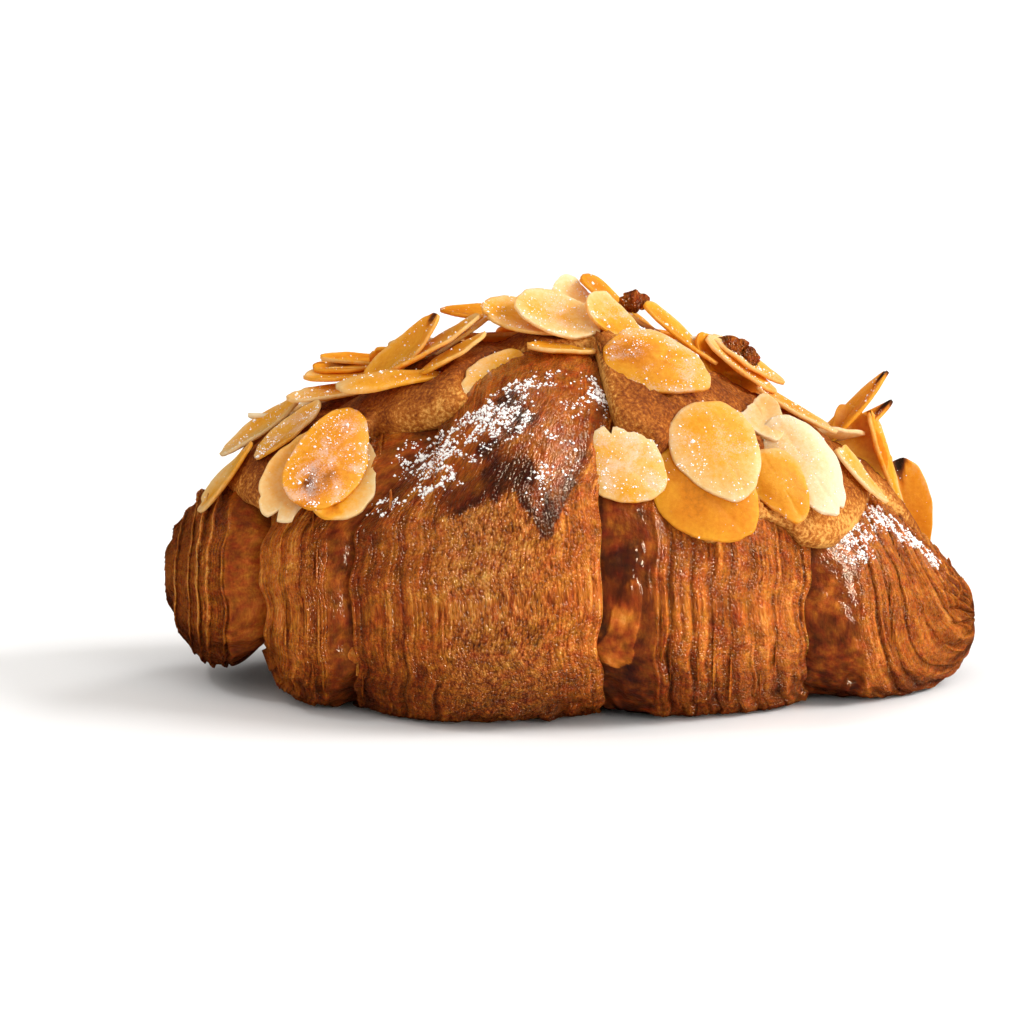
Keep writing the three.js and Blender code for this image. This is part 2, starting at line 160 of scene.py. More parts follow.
CREAM_LUMPS = [(0.7, 5, 8, 92), (0.35, 1.9, 3.4, 93), (0.3, 0.9, 1.6, 94)]
CRUST_CLUSTERS = [(1.0, 1.7, 2.6, 910), (0.7, 0.8, 1.3, 912)]
FLAKE_CLUSTERS = [(1.0, 2.2, 2.2, 920)]
DUST_CLUSTERS = [(1.0, 2.4, 2.4, 930)]

# Almond cream: lobes along the ridge as place, half length, degrees to the front and to the back, thickness.
CREAM_LOBES = [
    (-51, 15, 50, 45, 5.5), (-28, 16, 29, 42, 8),
    (-1, 17, 10, 36, 6), (22, 18, 72, 58, 6.5),
    (43, 14, 60, 50, 6.5), (58, 10, 8, 56, 5),
]
FRONT, BACK, THICK = 2, 3, 4  # columns of the lobes
LOBE_BLEND = 4  # how sharply one lobe gives way to the next
CREAM_EDGE = 0.55  # power of its rounded margins
CREAM_UNDER = 5.0  # how far it reaches into the pastry
LYING = 0.8  # cosine of the most that a flake tilts from the cream and still lies on it
PRESS_REACH = 4.0  # how high over a flake the cream may be pushed down
CREAM_BROWN = dict(least=0.18, lumps=0.2, top=0.35, left=0.18)  # how brown it is, and what adds to that
CREAM_ROWS, CREAM_COLUMNS = 260, 120

# Flaked almonds: place along the roll and in degrees round from the ridge, height over the cream, lean to the
# front, bank and spin in degrees, length, width, curl, how toasted it is and how much icing sugar it holds.
FLAKE_KEYS = ("x", "round", "lift", "lean", "bank", "spin", "length", "width", "curl", "toast", "sugar")
FRONT_FLAKES = [
    # the left end
    (-65, 22, 2.8, 8, 52, 0, 17, 9, 0.8, 0.34, 0.1),
    (-59, 0, 1.0, 10, 36, 0, 19, 10, 1.0, 0.3, 0.3),
    (-53, 18, 0.7, 16, 38, 8, 16, 9, 0.8, 0.36, 0.8),
    (-51, 42, 1.2, 46, 0, 70, 21, 11, 0.8, 0.28, 0.1),
    (-42, 44, 2.2, 42, 0, 78, 20, 13, 0.8, 0.3, 0.2),
    (-44.5, 39, 2.4, 48, 0, 68, 24, 13.5, -0.6, 0.45, 1.0),
    # the sheaf that points to the left
    (-39, -24, 6.6, 0, -2, -8, 20, 11, 0.6, 0.46, 0.1),
    (-40, -17, 4.8, 2, 4, 10, 19, 10, 0.8, 0.5, 0.1),
    (-41, -9, 3.2, 2, 5, -8, 20, 10, 0.7, 0.44, 0.2),
    (-44, 0, 1.8, 2, 7, 6, 20, 11, 0.8, 0.38, 0.5),
    (-33.5, 14, 1.4, 4, 6, 0, 21, 11, -1.4, 0.36, 0.4),
    # sticks and a tongue on the left slope
    (-31.5, 0, 1.4, 20, 46, 0, 20, 11, 1.6, 0.4, 0.2),
    (-26, 4, 1.2, 2, 32, 0, 21, 11, 0.8, 0.36, 0.3),
    (-20, -2, 2.0, 4, 33, 6, 20, 10, 0.7, 0.34, 0.7),
    (-22, 12, 0.8, 2, 32, -6, 15, 9, 0.6, 0.38, 0.2),
    (-14, 16, 1.2, 42, 0, 46, 14.5, 10.5, 0.8, 0.36, 0.5),
    # the crown
    (-16, -8, 5.2, 6, -2, 0, 18, 11, 0.8, 0.44, 0.1),
    (-7, 2, 1.4, 20, -10, -4, 20, 12, 1.0, 0.32, 0.6),
    (-2.5, 4, 1.2, 32, -14, -10, 17, 12, 1.2, 0.26, 0.7),
    (-2, 14, 2.6, 0, -5, 0, 13, 8, 0.6, 0.4, 0.2),
    (1, -6, 3.2, 40, -22, 0, 10, 8, 0.6, 0.15, 0.8),
    (7.5, 4, 1.4, 40, -38, 0, 12, 8, 0.9, 0.36, 0.8),
    (9, -9, 3.4, 4, -36, 0, 19, 11, 0.8, 0.42, 0.3),
    # shingles on the front of the right slope
    (20.5, -4, 2.6, 6, -40, 0, 18, 10, 0.8, 0.42, 0.2),
    (15.5, 22, 0.8, 46, 0, -24, 21, 13, -0.8, 0.4, 0.9),
    (9, 57, 1.0, 66, 0, -40, 16.5, 14.5, -0.8, 0.28, 0.9),
    (24, 60, 0.2, 62, 0, -48, 22, 17, -0.6, 0.42, 0.1),
    (26, 48, 2.8, 58, 0, -58, 20.5, 15.5, -0.8, 0.29, 0.6),
    (35.5, 22, 0.8, 42, 0, -66, 11, 7.5, 0.6, 0.16, 0.3),
    (38, 46, -0.4, 54, 0, -62, 16, 10, -0.6, 0.38, 0.2),
    (43, 38, 2.2, 54, 0, -60, 22.5, 11.5, -0.6, 0.06, 0.6),
    # slivers along the right ridge
    (28, -8, 0.8, 30, -58, 0, 15, 9, 0.8, 0.48, 0.1),
    (32, -6, 3.8, 8, -38, 0, 17, 10, 0.9, 0.36, 0.5),
    (33.5, -12, 5.8, 6, -33, 6, 17, 10, 0.8, 0.32, 0.5),
    (42.5, 0, 1.0, 2, -29, 0, 18, 10, 0.7, 0.34, 0.5),
    (54, 20, 0.6, 10, -48, 0, 15, 9, 0.8, 0.26, 0.3),
    # the tuft that stands at the right end
    (53.5, -16, 7.0, 8, 48, 0, 24, 9, 0.8, 0.42, 0.4),
    (55, -24, 6.0, 12, 38, 0, 20, 9, 0.8, 0.42, 0.2),
    (55.5, -14, 2.5, 68, 0, 104, 18, 10, 0.9, 0.48, 0.1),
    (61, -14, 4.2, 12, -70, 0, 22, 10, 0.7, 0.36, 0.1),
    (66, -34, 5.4, 74, 0, -80, 21, 10.5, 1.0, 0.42, 0.1),
]
# Flakes at the back: how many, and the spans of their places, sizes and toasting, gone through by steps.
BACK_FLAKES = dict(
    count=20, x=(-58.0, 58.0), reach=(0.3, 0.85), length=(14.0, 20.0), lift=(0.2, 1.2), toast=(0.15, 0.55),
    slim=0.62, curl=1.0, sugar=0.4,
)
STEPS = dict(round=0.618034, spin=0.414214, size=0.732051, lift=0.236068)  # shares of a span
FLAKE_THICK = 0.85
FLAKE_TAPER = 0.22
RIM_TOAST_AND_HIGHLIGHT = -0.12  # what a flake's rim adds to its toasting: it is paler than the middle, partly its own tone and partly painted highlight where the edge catches the light
FLAKE_AROUND = 64
FLAKE_RINGS = (0.15, 0.4, 0.65, 0.85, 0.96, 1.0)  # shares of the way out to the rim
FLAKE_TWIST, FLAKE_RIPPLE = 0.7, 0.16
SEAM_DEEP, SEAM_WIDE = 0.1, 0.05  # of the line along a flake's middle
CHIPS, CHIP_DEEP, CHIP_WIDE = 2, (0.02, 0.09), (0.06, 0.25)  # in a flake's rim
TOAST_BLOTCH, TOAST_ALONG, TOAST_ACROSS = 0.08, 0.12, 0.1  # how uneven a flake's toasting is
RIM_WAVES = ((2, 0.03), (3, 0.035), (5, 0.02), (9, 0.012), (15, 0.008))  # waves round the rim, and height
# Broken flakes: the degrees that the break faces and its reach. Split ones: degrees, depth and width.
BROKEN = {25: (120, 0.8), 3: (250, 0.75), 20: (60, 0.7), 28: (200, 0.75), 35: (170, 0.8)}
NOTCHED = {3: (178, 0.4, 5), 25: (150, 0.3, 4), 17: (200, 0.2, 5), 30: (10, 0.12, 8)}
BROKEN_EVERY, BREAK_TURN, BREAK_REACH = 4, 40, 0.8  # of the flakes at the back
# Burns on flakes: the flake, place along and across it, size and strength.
BURNT_SPOTS = [
    (5, -0.6, 0.1, 0.36, 0.3), (5, -0.62, 0.2, 0.16, 0.34), (5, -0.4, -0.3, 0.16, 0.24),
    (4, -0.7, 0.1, 0.3, 0.4), (7, -0.5, 0.4, 0.4, 0.5), (26, -0.4, 0.1, 0.6, 0.2),
    (24, -0.5, 0.1, 0.6, 0.25), (11, 0.95, 0.1, 0.2, 0.75), (36, 1, 0, 0.25, 1),
    (37, 1, 0, 0.35, 0.9), (39, -1, 0, 0.18, 1), (40, -0.95, 0.1, 0.24, 1),
]

# Edge of the burnt skin on the middle wrap, as places along the roll and degrees round from the ridge.
SKIN_EDGE = [
    (-24, 67), (-19, 67), (-15, 65), (-11, 65), (-8, 71), (-6, 77), (-4, 78), (-2, 70), (1, 61), (6, 38),
]
SKIN_START = -22.0
SKIN_RAGGED = 3.0  # degrees that the skin's edge wanders
# Patches of the crust: place along the roll, degrees round from the ridge, half size each way, strength.
BURNT = [
    (-12, 32, 3.5, 6, 0.7), (-9.5, 43, 3.5, 5, 0.8), (-15.5, 48, 3, 5, 0.7),
    (-14, 57, 3.2, 4, 0.8), (-9, 59, 3, 6, 0.8), (-4.5, 70, 1.6, 7, 0.7),
    (7.5, 84, 4, 5, 0.75), (11.3, 81, 2, 4, 0.7), (8.5, 90, 2.4, 4, 0.6),
    (-41.6, 78, 1.6, 7, 0.62), (-40.4, 92, 1.4, 6, 0.58),
]
# A clear film that has lifted off the crust.
AMBER = [(9, 98, 2.6, 8, 1), (7.2, 107, 3.2, 6, 0.9), (10.8, 91, 1.6, 4, 0.7)]
GLAZED = [
    (0, 32, 6, 16, 0.9), (-3, 52, 5, 10, 0.8), (-36, 62, 3, 12, 0.6),
    (5, 100, 4, 14, 0.6), (-10, -40, 9, 14, 0.7),
]
SUGARED = [
    (-34.5, 57, 2.5, 4, 0.7), (-29.5, 40, 3.5, 6, 0.9), (-24, 42, 3.5, 8, 0.9),
    (-26, 56, 4, 5, 0.6), (-20, 45, 3.5, 9, 0.8), (-14, 38, 4, 7, 1),
    (-11, 43, 3, 5, 0.9), (-7, 30, 4, 4, 1), (-4.7, 49, 2.2, 3, 0.9),
    (0, 41, 2, 3, 0.8), (4, 34, 3.2, 6, 1), (-6, 63, 2.5, 7, 0.6),
    (-1, 57, 1.6, 5, 0.8), (50.5, 50, 2.4, 7, 1), (54, 44, 2.8, 8, 1),
    (58.5, 31, 3, 6, 1), (62, 34, 3, 7, 1), (65, 29, 3, 6, 1),
    (68.7, 36, 2.2, 8, 0.8), (52, 60, 4, 6, 0.7), (-22, -50, 8, 9, 0.7),
    (0, -45, 6, 9, 0.8), (55, -62, 6, 8, 0.7),
]
CRUST_SUGAR = 12.0  # grains for each square millimetre where they lie thickest
FLAKE_SUGAR = 6.0
FLAKE_GRAINS = 0.6  # size of the grains on the flakes, as a share of those on the crust
GRAIN_SIZE = (-1.8, 0.48)  # mean and spread of the logarithm of a grain's radius
GRAIN_LARGEST = 0.42
GRAIN_UNEVEN = (0.6, 1.3)  # shares of the radius where a grain's corners lie
GRAIN_SCATTER = 0.1  # how far the grains lie from the surface, about
GRAIN_CORNERS = np.array([[1, 0, 0], [-1, 0, 0], [0, 1, 0], [0, -1, 0], [0, 0, 1], [0, 0, -1]], float)
GRAIN_SIDES = [[0, 2, 4], [2, 1, 4], [1, 3, 4], [3, 0, 4], [2, 0, 5], [1, 2, 5], [3, 1, 5], [0, 3, 5]]

# Thin flakes that peel off the crust: the wrap, place, half size each way, the side that lifts and how far.
PEELS = [
    dict(wrap=1, x=-38.3, round=111, along=1.5, across=5, toward=80, sunk=0.6, lift=1.6, bake=0.24),
    dict(wrap=1, x=-39.6, round=104, along=1.6, across=3.5, toward=0, sunk=0.4, lift=0.8, bake=0.28),
]
# Slivers of crust that lift along the layers: how many, degrees round, and ranges of half width, half length
# in degrees, lift, and how much darker they are than their wrap. right is the share that lifts to the right.
SLIVERS = dict(
    count=60, right=0.6, round=(28, 122), wide=(0.12, 0.28), long=(5, 13), lift=(0.1, 0.4),
    bake=(-0.16, 0.06),
)
SLIVER_WRAPS = (1, 1, 2, 3, 3, 3, 4, 4)
SHOWN_CUT = 0.9  # share of a wrap past which no sliver starts
PEEL_AROUND = 24
PEEL_RINGS = (0.3, 0.6, 0.85, 0.97)  # shares of the way out to the rim
PEEL_THICK = 0.3
PEEL_WAVES = ((1, 0.08), (2, 0.12), (3, 0.1), (5, 0.06), (8, 0.05), (13, 0.03))
# Burnt lumps on top: place, half sizes and baking.
CRUMBS = [
    ((30.5, 12.5, 63.8), (3, 2.6, 2.2), 0.52),
    ((34.2, 14, 61.4), (2, 2.2, 2), 0.56),
    ((12, 8, 73.2), (2.4, 2.4, 2), 0.52),
]
PEEL_CRUMB, LUMP_CRUMB = 0.3, 0.6  # how blistered a peel and a lump are
CRUMB_ROWS, CRUMB_COLUMNS = 22, 32

# The layer value is the layers' own tone with painted shade in their grooves and painted highlight on their
# crests.
CRUST_VALUES = ("across", "arc", "layer_tone_and_shade", "bake", "crumb")  # what the crust's material reads from its mesh
CRUST_SHEEN = (1.0, 0.8, 0.62, 1.0)
ALMOND_SHEEN = (1.0, 0.9, 0.72, 1.0)
ALMOND_CLEARNESS = 0.36
DUST_COVER = 0.4
SUGAR_COLOUR = (250, 247, 243)

# Colours as places along a tone, from pale to dark, with red, green and blue.
CRUST_COLOURS = [
    (0, 224, 148, 70), (0.2, 190, 104, 34), (0.38, 150, 74, 22),
    (0.55, 114, 50, 16), (0.75, 74, 31, 14), (1, 38, 18, 17),
]
CREAM_COLOURS = [(0, 222, 160, 78), (0.3, 172, 98, 30), (0.6, 130, 62, 14), (1, 82, 34, 8)]
ALMOND_COLOURS = [
    (0, 252, 238, 204), (0.2, 246, 212, 144), (0.4, 246, 178, 44),
    (0.6, 226, 136, 16), (0.8, 138, 68, 16), (1, 46, 24, 16),
]
# Textures as bumps for each millimetre of crust, or metre of cream and almond, with detail and roughness.
FIBRES, STRANDS, GRAINS = (2.2, 3.0, 0.65), (1.8, 1.0), (2.6, 1.0, 0.6)
MOTTLES, WRINKLES, GOLDEN = (0.4, 5.0, 0.75), (0.5, 2.0), (0.45, 2.0)
CREAM_SPECKLE, CREAM_CLOUD = (1600.0, 3.0, 0.65), (200.0, 3.0)
ALMOND_SPECKLE, POWDER = (1100.0, 4.0, 0.65), (3500.0, 2.0, 0.6)
PIT_SCALE = 2.2
STRAND_STRETCH, GRAIN_STRETCH, PIT_STRETCH = 0.3, 0.8, 0.75  # of the textures, round the roll
HUE_SPREAD = 0.055

# The photograph's view: a long lens a little above the table.
VIEW_ELEVATION = math.radians(10.0)
VIEW_DISTANCE = 700.0
VIEW_TARGET = (-11.15, SET_FORWARD, 34.2)
PIXELS_PER_MM = 5.29
IMAGE_SIZE = 1024
SENSOR = 36.0
FAR_END = 50.0  # metres that the camera sees

# The light: lamps with the direction each comes from, its strength and the degrees that it spans.
LAMPS = [
    ("key", (0.8, -0.12, 0.52), 2.8, 26.0),
    ("fill", (0.55, -0.78, 0.3), 0.8, 20.0),
    ("sky", (-0.5, -0.1, 0.86), 0.4, 8.0),
    ("back", (0.5, 0.72, 0.48), 0.9, 20.0),
]
# Tall lights that only show as gloss: the direction each stands in, distance, width, height and brightness.
STRIPS = [
    ("side_strip", (0.7, -0.62, 0.38), 1.2, 0.12, 1.2, 18.0),
    ("top_strip", (0.35, -0.3, 0.9), 1.2, 0.3, 0.8, 8.0),
]
STRIP_COLOUR = (1.0, 0.83, 0.62)
# The white room round them.
ROOM_COLOUR = (1.0, 0.97, 0.93, 1.0)
ROOM_LIGHT = 0.82
ROOM_LEAN = (0.05, -0.2, 0.0)  # how much brighter the room is to the right and to the front
FLOOR_COLOUR = (0.9, 0.9, 0.9, 1)
FLOOR_HALF = 8000.0


def tent(x, peak, at, left, right, rounding):
    """Height at x of a line that falls away on both sides of a rounded peak."""
    away = x - at
    return peak - np.where(away < 0, left, right) * (np.hypot(away, rounding) - rounding)


def ease(start, end, value):
    """0 before start, 1 after end, and smooth between them."""
    t = np.clip((value - start) / (end - start), 0, 1)
    return t * t * (3 - 2 * t)


def span(ends, share):
    """The value at a share of the way between two."""
    return ends[0] + (ends[1] - ends[0]) * share


def signed_power(value, power):
    """The power of a value's size, with its sign kept."""
    return np.sign(value) * np.abs(value) ** power


def noise(x, y, seed, cells=256):
    """Smooth noise from -1 to 1 with bumps about one unit across."""
    table = np.random.default_rng(seed).uniform(-1, 1, (cells, cells))
    column = np.floor(x).astype(int)
    row = np.floor(y).astype(int)
    u = ease(0, 1, x - column)
    v = ease(0, 1, y - row)

    def line(row):
        """Values along one row of the table."""
        return table[column % cells, row % cells] * (1 - u) + table[(column + 1) % cells, row % cells] * u

    return line(row) * (1 - v) + line(row + 1) * v


def skewed(x, y, seed):
    """Noise whose cells lie aslant, in two sizes."""
    across = 0.8 * x + 0.6 * y
    along = 0.8 * y - 0.6 * x
    return 0.7 * noise(across, along, seed) + 0.45 * noise(1.9 * across + 0.7 * along, 1.9 * along, seed + 1)


def rough(rows, x, y, k=0, kind=noise):
    """The noise that rows describe at two coordinates, different for each number k."""
    return sum(height * kind(x / wide, y / long, seed + k) for height, wide, long, seed in rows)


def opening(x):
    """How far a section has opened, from 0 at a tip to 1 past the rounded end."""

    def end(distance, long, power):
        left = 1 - np.clip(distance / long, 0, 1)
        return (1 - left**power) ** (1 / power)

    return end(x + LENGTH / 2, **LEFT_END) * end(LENGTH / 2 - x, **RIGHT_END)


def roll_point(x, angle, outward):
    """A point of the smooth roll at x, at an angle round the section (0 front, a quarter turn the ridge)."""
    height = tent(x, **RIDGE)
    widest = WIDEST * height
    lift = LEFT_LIFT * ease(LIFT_FROM, LIFT_TO, x)
    c = np.cos(angle)
    s = np.sin(angle)
    power = np.where(s > 0, 2 / UPPER_POWER, 2 / LOWER_POWER)
    reach = np.where(s > 0, height - widest, widest + SINK - lift)
    y = -tent(x, **SIDES) * signed_power(c, power) - outward * c
    z = widest + reach * signed_power(s, power) + outward * s
    opened = opening(x)
    middle = (height + lift) / 2
    tip = np.where(x < 0, LEFT_TIP_HEIGHT, RIGHT_TIP_HEIGHT)
    z = tip + (middle - tip) * opened + (z - middle) * opened
    on_table = np.maximum(0, z + FOOT_ROUNDING) ** 2 / (4 * FOOT_ROUNDING)
    z = np.where(z > FOOT_ROUNDING, z, on_table)
    y = y * opened + BEND * (x / (LENGTH / 2)) ** 2 + SET_FORWARD
    return np.stack(np.broadcast_arrays(x, y, z), axis=-1)


def edge_at(k, angle):
    """Where wrap number k starts, at an angle round the section."""
    if k == 0:
        return np.full_like(angle, -LENGTH / 2)
    if k > LAST:
        return np.full_like(angle, LENGTH / 2)
    low, high, back = EDGES[k - 1]
    climb = ease(EDGE_LEAN_FROM, 1, (1 + np.sin(angle)) / 2)
    waver = np.sin(7 * angle + 2 * k) * np.sin(3 * angle + k) + 0.4 * np.sin(19 * angle + k)
    return low + (high - low) * climb + back * ease(0, 1, -np.cos(angle)) + EDGE_WAVER * waver


def swell(wrap, share):
    """A wrap's swell over the smooth roll, at a share of the way across it."""
    crown = wrap["puff"] * 4 * share * (1 - share)
    if wrap["under"] == "none":
        return crown - wrap["roll"] * (share**EDGE_ROLL + (1 - share) ** EDGE_ROLL)
    free = share if wrap["under"] == "left" else 1 - share
    return crown - wrap["tuck"] * (1 - free) ** PUFF_DIP - wrap["roll"] * free**EDGE_ROLL


def lumpy(x, angle):
    """How far the whole roll stands out in wide lumps at a place."""
    return sum(height * np.sin(along * x + turns * angle + start) for height, along, turns, start in LUMPS)


def ridge_phase(wrap, k, share):
    """Number of the main layer at a share of the way across a wrap, whole at each crest."""
    steps = 2 * wrap["count"]
    i = np.arange(steps + 1)
    uneven = np.where((i > 0) & (i < steps), RIDGE_JITTER * np.sin(2.3 * i + k), 0)
    first, last = wrap["cut"]
    return np.interp(share, first + (last - first) * (i + uneven) / steps, i / 2)


def rounded(part):
    """Height of a rounded layer with narrow grooves beside it, its crest at each whole number."""
    off = 2 * np.abs(part - np.round(part))
    return np.sqrt(np.maximum(0, 1 - off**2))


def lipped(part):
    """Height of a flat layer with a thin lip at its far side, where it drops to the next."""
    part = part - np.floor(part)
    lip = np.exp(-(((part - LIP_AT) / LIP_WIDE) ** 2))
    return (0.35 * part + 0.65 * lip) * (1 - ease(LIP_AT + LIP_WIDE, 1.0, part))


def layers(across, arc, spacing, sharp, seed):
    """Thin layers that overlap, 0 between them and 1 at an edge, and each one's tone."""
    sway = 0.4 * noise(arc / 22, across / (4 * spacing), seed)
    sway = sway + 0.06 * noise(arc / 3, across / spacing, seed + 4)
    place = across / spacing + sway + 0.4 * noise(across / (1.7 * spacing), 0 * arc, seed + 1)
    number = np.floor(place)
    part = place - number
    fade = np.clip(0.6 + 0.8 * noise(3.7 * number, arc / 9, seed + 2), 0.15, 1)
    return fade * part**sharp * (1 - ease(SHEET_DROP, 1.0, part)), noise(2.9 * number, arc / 12, seed + 3)


def thin_layers(wrap, k, across, arc):
    """A wrap's thin layers: how far they stand out, their tone, and the sum of their heights."""
    relief, tone, total = 0, 0, 0
    for number, (spacing, height, sharp) in enumerate(wrap["layers"]):
        crest, shade = layers(across, arc, spacing, sharp, 200 + 20 * k + 7 * number)
        relief = relief + height * (crest - 0.4)
        tone = tone + shade / (1 + number)
        total += height
    return relief, tone, total


def across_values(table, share):
    """Values at a share of the way across a wrap, from a table of places and values."""
    places, values = zip(*table)
    return np.interp(share, places, values)


def patches(rows, x, around):
    """Sum of soft round patches of the crust."""
    total = np.zeros(np.broadcast(x, around).shape)
    for at, turn, half_along, half_round, strength in rows:
        total += strength * np.exp(-(((x - at) / half_along) ** 2) - ((around - turn) / half_round) ** 2)
    return total


def column_angles():
    """Angles of the columns of points: close together where the crust shows, sparse underneath."""
    fine = np.radians(np.linspace(-90, 270, 4000))
    weight = np.where(np.sin(fine) > UNDERSIDE, 1.0, 0.35) * np.where(np.cos(fine) > BACK_SIDE, 1.5, 0.8)
    total = np.concatenate([[0], np.cumsum(weight)[:-1]])
    return np.interp(np.arange(COLUMNS) / COLUMNS, total / np.sum(weight), fine)


def ring_plan(k):
    """Each ring's share of the way across wrap k, its shift along the roll and how far it is sunk inside."""
    rings = WRAPS[k]["rings"]
    under = WRAPS[k]["under"]
    shares = np.linspace(0, 1, rings)
    if k == 0:
        shares = np.linspace(TIP_START, 1, rings) ** TIP_CROWDING
    if k == LAST:
        shares = 1 - np.linspace(1, TIP_START, rings) ** TIP_CROWDING
    lap = LAP if 0 < k < LAST else 0
    rows = [(share, lap * (2 * share - 1) ** LAP_POWER, 0) for share in shares]
    if k > 0:
        way = -1 if under == "left" else FREE_TURN
        rows = [(0, way * along, sunk) for along, sunk in HIDDEN_RINGS[::-1]] + rows
    if k < LAST:
        way = 1 if under == "right" else -FREE_TURN
        rows = rows + [(1, way * along, sunk) for along, sunk in HIDDEN_RINGS]
    return np.array(rows).T[:, :, None]


def cut_shares(wrap, worn):
    """Where a wrap's main layers and where its thin layers show, each from 0 to 1."""
    first, last = wrap["cut"]
    cut = ease(first - 0.03, first + 0.01, worn) * (1 - ease(last - 0.01, last + 0.04, worn))
    if wrap["under"] == "none":
        return cut, np.maximum(cut, ease(STRIP_FROM - 0.04, STRIP_FROM + 0.06, worn))
    return cut, cut


def tip_layers(x, share, around, arc, phase):
    """How far the right tip has narrowed, from 0 to 1, the ends of its layers, and the layers' lips."""
    opened = opening(x)
    tip = 1 - ease(0.3, 0.95, opened + rough(TIP_EDGE, arc, share))
    bend = rough(FINGER_BEND, arc, 0 * x) + rough(FINGER_SWAY, arc, share)
    fingers = (rounded((around - FINGER_FROM) / FINGER_TURN + bend) - 0.5) * tip * ease(0.05, 0.4, opened)
    lips = TIP_LIPS * (lipped(phase) - 0.4) * (1 + rough(LIP_RAGS, arc, share))
    return tip, fingers, (lips + 0.4 * fingers) * ease(0.05, 0.3, opened) * tip


def wrap_arrays(k):
    """One wrap's points ring by ring, with what its material reads."""
    wrap = WRAPS[k]
    share, shift, sunk = ring_plan(k)
    angle = column_angles()[None, :]
    around = 90 - np.degrees(angle)  # degrees from the ridge, positive at the front
    arc = np.degrees(angle) * ARC_PER_DEGREE
    start = edge_at(k, angle)
    end = edge_at(k + 1, angle)
    x = start + (end - start) * share
    spine = roll_point(x, np.broadcast_to(angle, x.shape), swell(wrap, share))
    steps = np.linalg.norm(np.diff(spine, axis=0, prepend=spine[:1]), axis=-1).mean(axis=1)
    length = np.cumsum(steps)[:, None] + 0 * angle  # over the crust, from the wrap's left edge
    low = ease(*FOOT_TURN, np.abs(around))
    worn = share + rough(WORN, arc, share, k)
    cut, lined = cut_shares(wrap, worn)

    fanned = share * (1 - wrap["fan"] * (np.abs(around) - FAN_LEVEL) / FAN_TURN)
    phase = ridge_phase(wrap, k, fanned + rough(WANDER, arc, share, k))
    ridges = (lipped(phase) * (1 + STEP_GAIN * low) if k == 0 else rounded(phase)) - 0.5
    uneven = noise(3.3 * np.round(phase) + 0.5, arc / 12, 50 + k)
    ridges = ridges * (1 - RIDGE_UNEVEN + RIDGE_UNEVEN * uneven)
    thin, thin_tone, thin_height = thin_layers(wrap, k, fanned * float(np.mean(end - start)), arc)
    fingers = 0
    if k == LAST:
        tip, fingers, lips = tip_layers(x, share, around, arc, phase)
        ridges = ridges * (1 - tip) + lips
        thin = thin * ease(0.2, 0.7, opening(x))
        low = low * (1 + tip)

    film, burnt, amber = burning(x, around)
    skinned = film + amber
    glazed = np.minimum(1, patches(GLAZED, x, around))
    crumb = across_values(wrap["grain"], worn) * (1 - GLAZE_SMOOTHS * glazed)
    crumb = crumb * (1 - FILM_SMOOTHS * np.maximum(film, amber))
    flecks = rough(FLECKS, length, arc, k, skewed)
    shown = (1 - FILM_LEVELS * film) * (1 - GLAZE_LEVELS * glazed)
    relief = (cut * wrap["depth"] * ridges + lined * thin) * shown
    relief = relief + FINGER_HIGH * fingers + FLECK_HIGH * crumb * flecks + rough(BUBBLES, length, arc, k)
    relief = relief + skinned * (FILM_THICK - CREASE_DEEP * np.abs(rough(CREASES, length, arc, k, skewed)))
    ragged = low * rough(FOOT_RAGS, x, arc) * ease(0.2, 0.7, rough(FOOT_GAPS, x, arc) + 0.5)
    neck = NECK_LIFT * low * (share**3 if k == 0 else (1 - share) ** 6 if k == 1 else 0)
    out = swell(wrap, share) - sunk - neck + relief + ragged + lumpy(x, angle)
    points = roll_point(x + shift, np.broadcast_to(angle, x.shape), out)
    points[..., 0] += tip_shift(k, x, angle) + FINGER_LONG * fingers

    # The tone of the layers: their cut edges paler, with painted shade in the grooves between them and
    # painted highlight on their crests, lighter wherever the relief stands higher.
    tone = (LIP_TONE_AND_SHADE if k == 0 else 1) * cut * ridges
    tone = tone + 1.3 * lined * thin / thin_height + 0.7 * crumb * flecks
    patchy = wrap["patchy"] * (1 - lined) * (1 - crumb) * rough(MOTTLE, length, arc, k)
    bake = across_values(wrap["bake"], worn) + wrap["streaks"] * lined * thin_tone
    bake = bake + patchy + baking(x, around) + GLAZE_BAKE * glazed
    bake = bake + (np.maximum(bake, SKIN_BAKE) - bake) * film + (AMBER_BAKE + patchy - bake) * amber
    return dict(
        points=points,
        x=x,
        around=np.broadcast_to(around, x.shape),
        across=length + TEXTURE_STEP * k,
        arc=np.broadcast_to(arc, x.shape),
        layer_tone_and_shade=np.clip(tone * (1 - amber), -1, 1),
        bake=bake + (BURNT_BAKE - bake) * burnt,
        crumb=crumb,
    )


def tip_shift(k, x, angle):
    """How far the left tip's rolled layers are pressed in, along the roll."""
    if k > 0:
        return 0
    opened = opening(x)
    turn = SPIRAL_TURNS * opened + angle / (2 * np.pi)
    shown = (1 - ease(0.6, 0.95, opened)) * ease(0.05, 0.3, opened)
    return SPIRAL_DEPTH * (turn - np.floor(turn)) ** 0.7 * shown


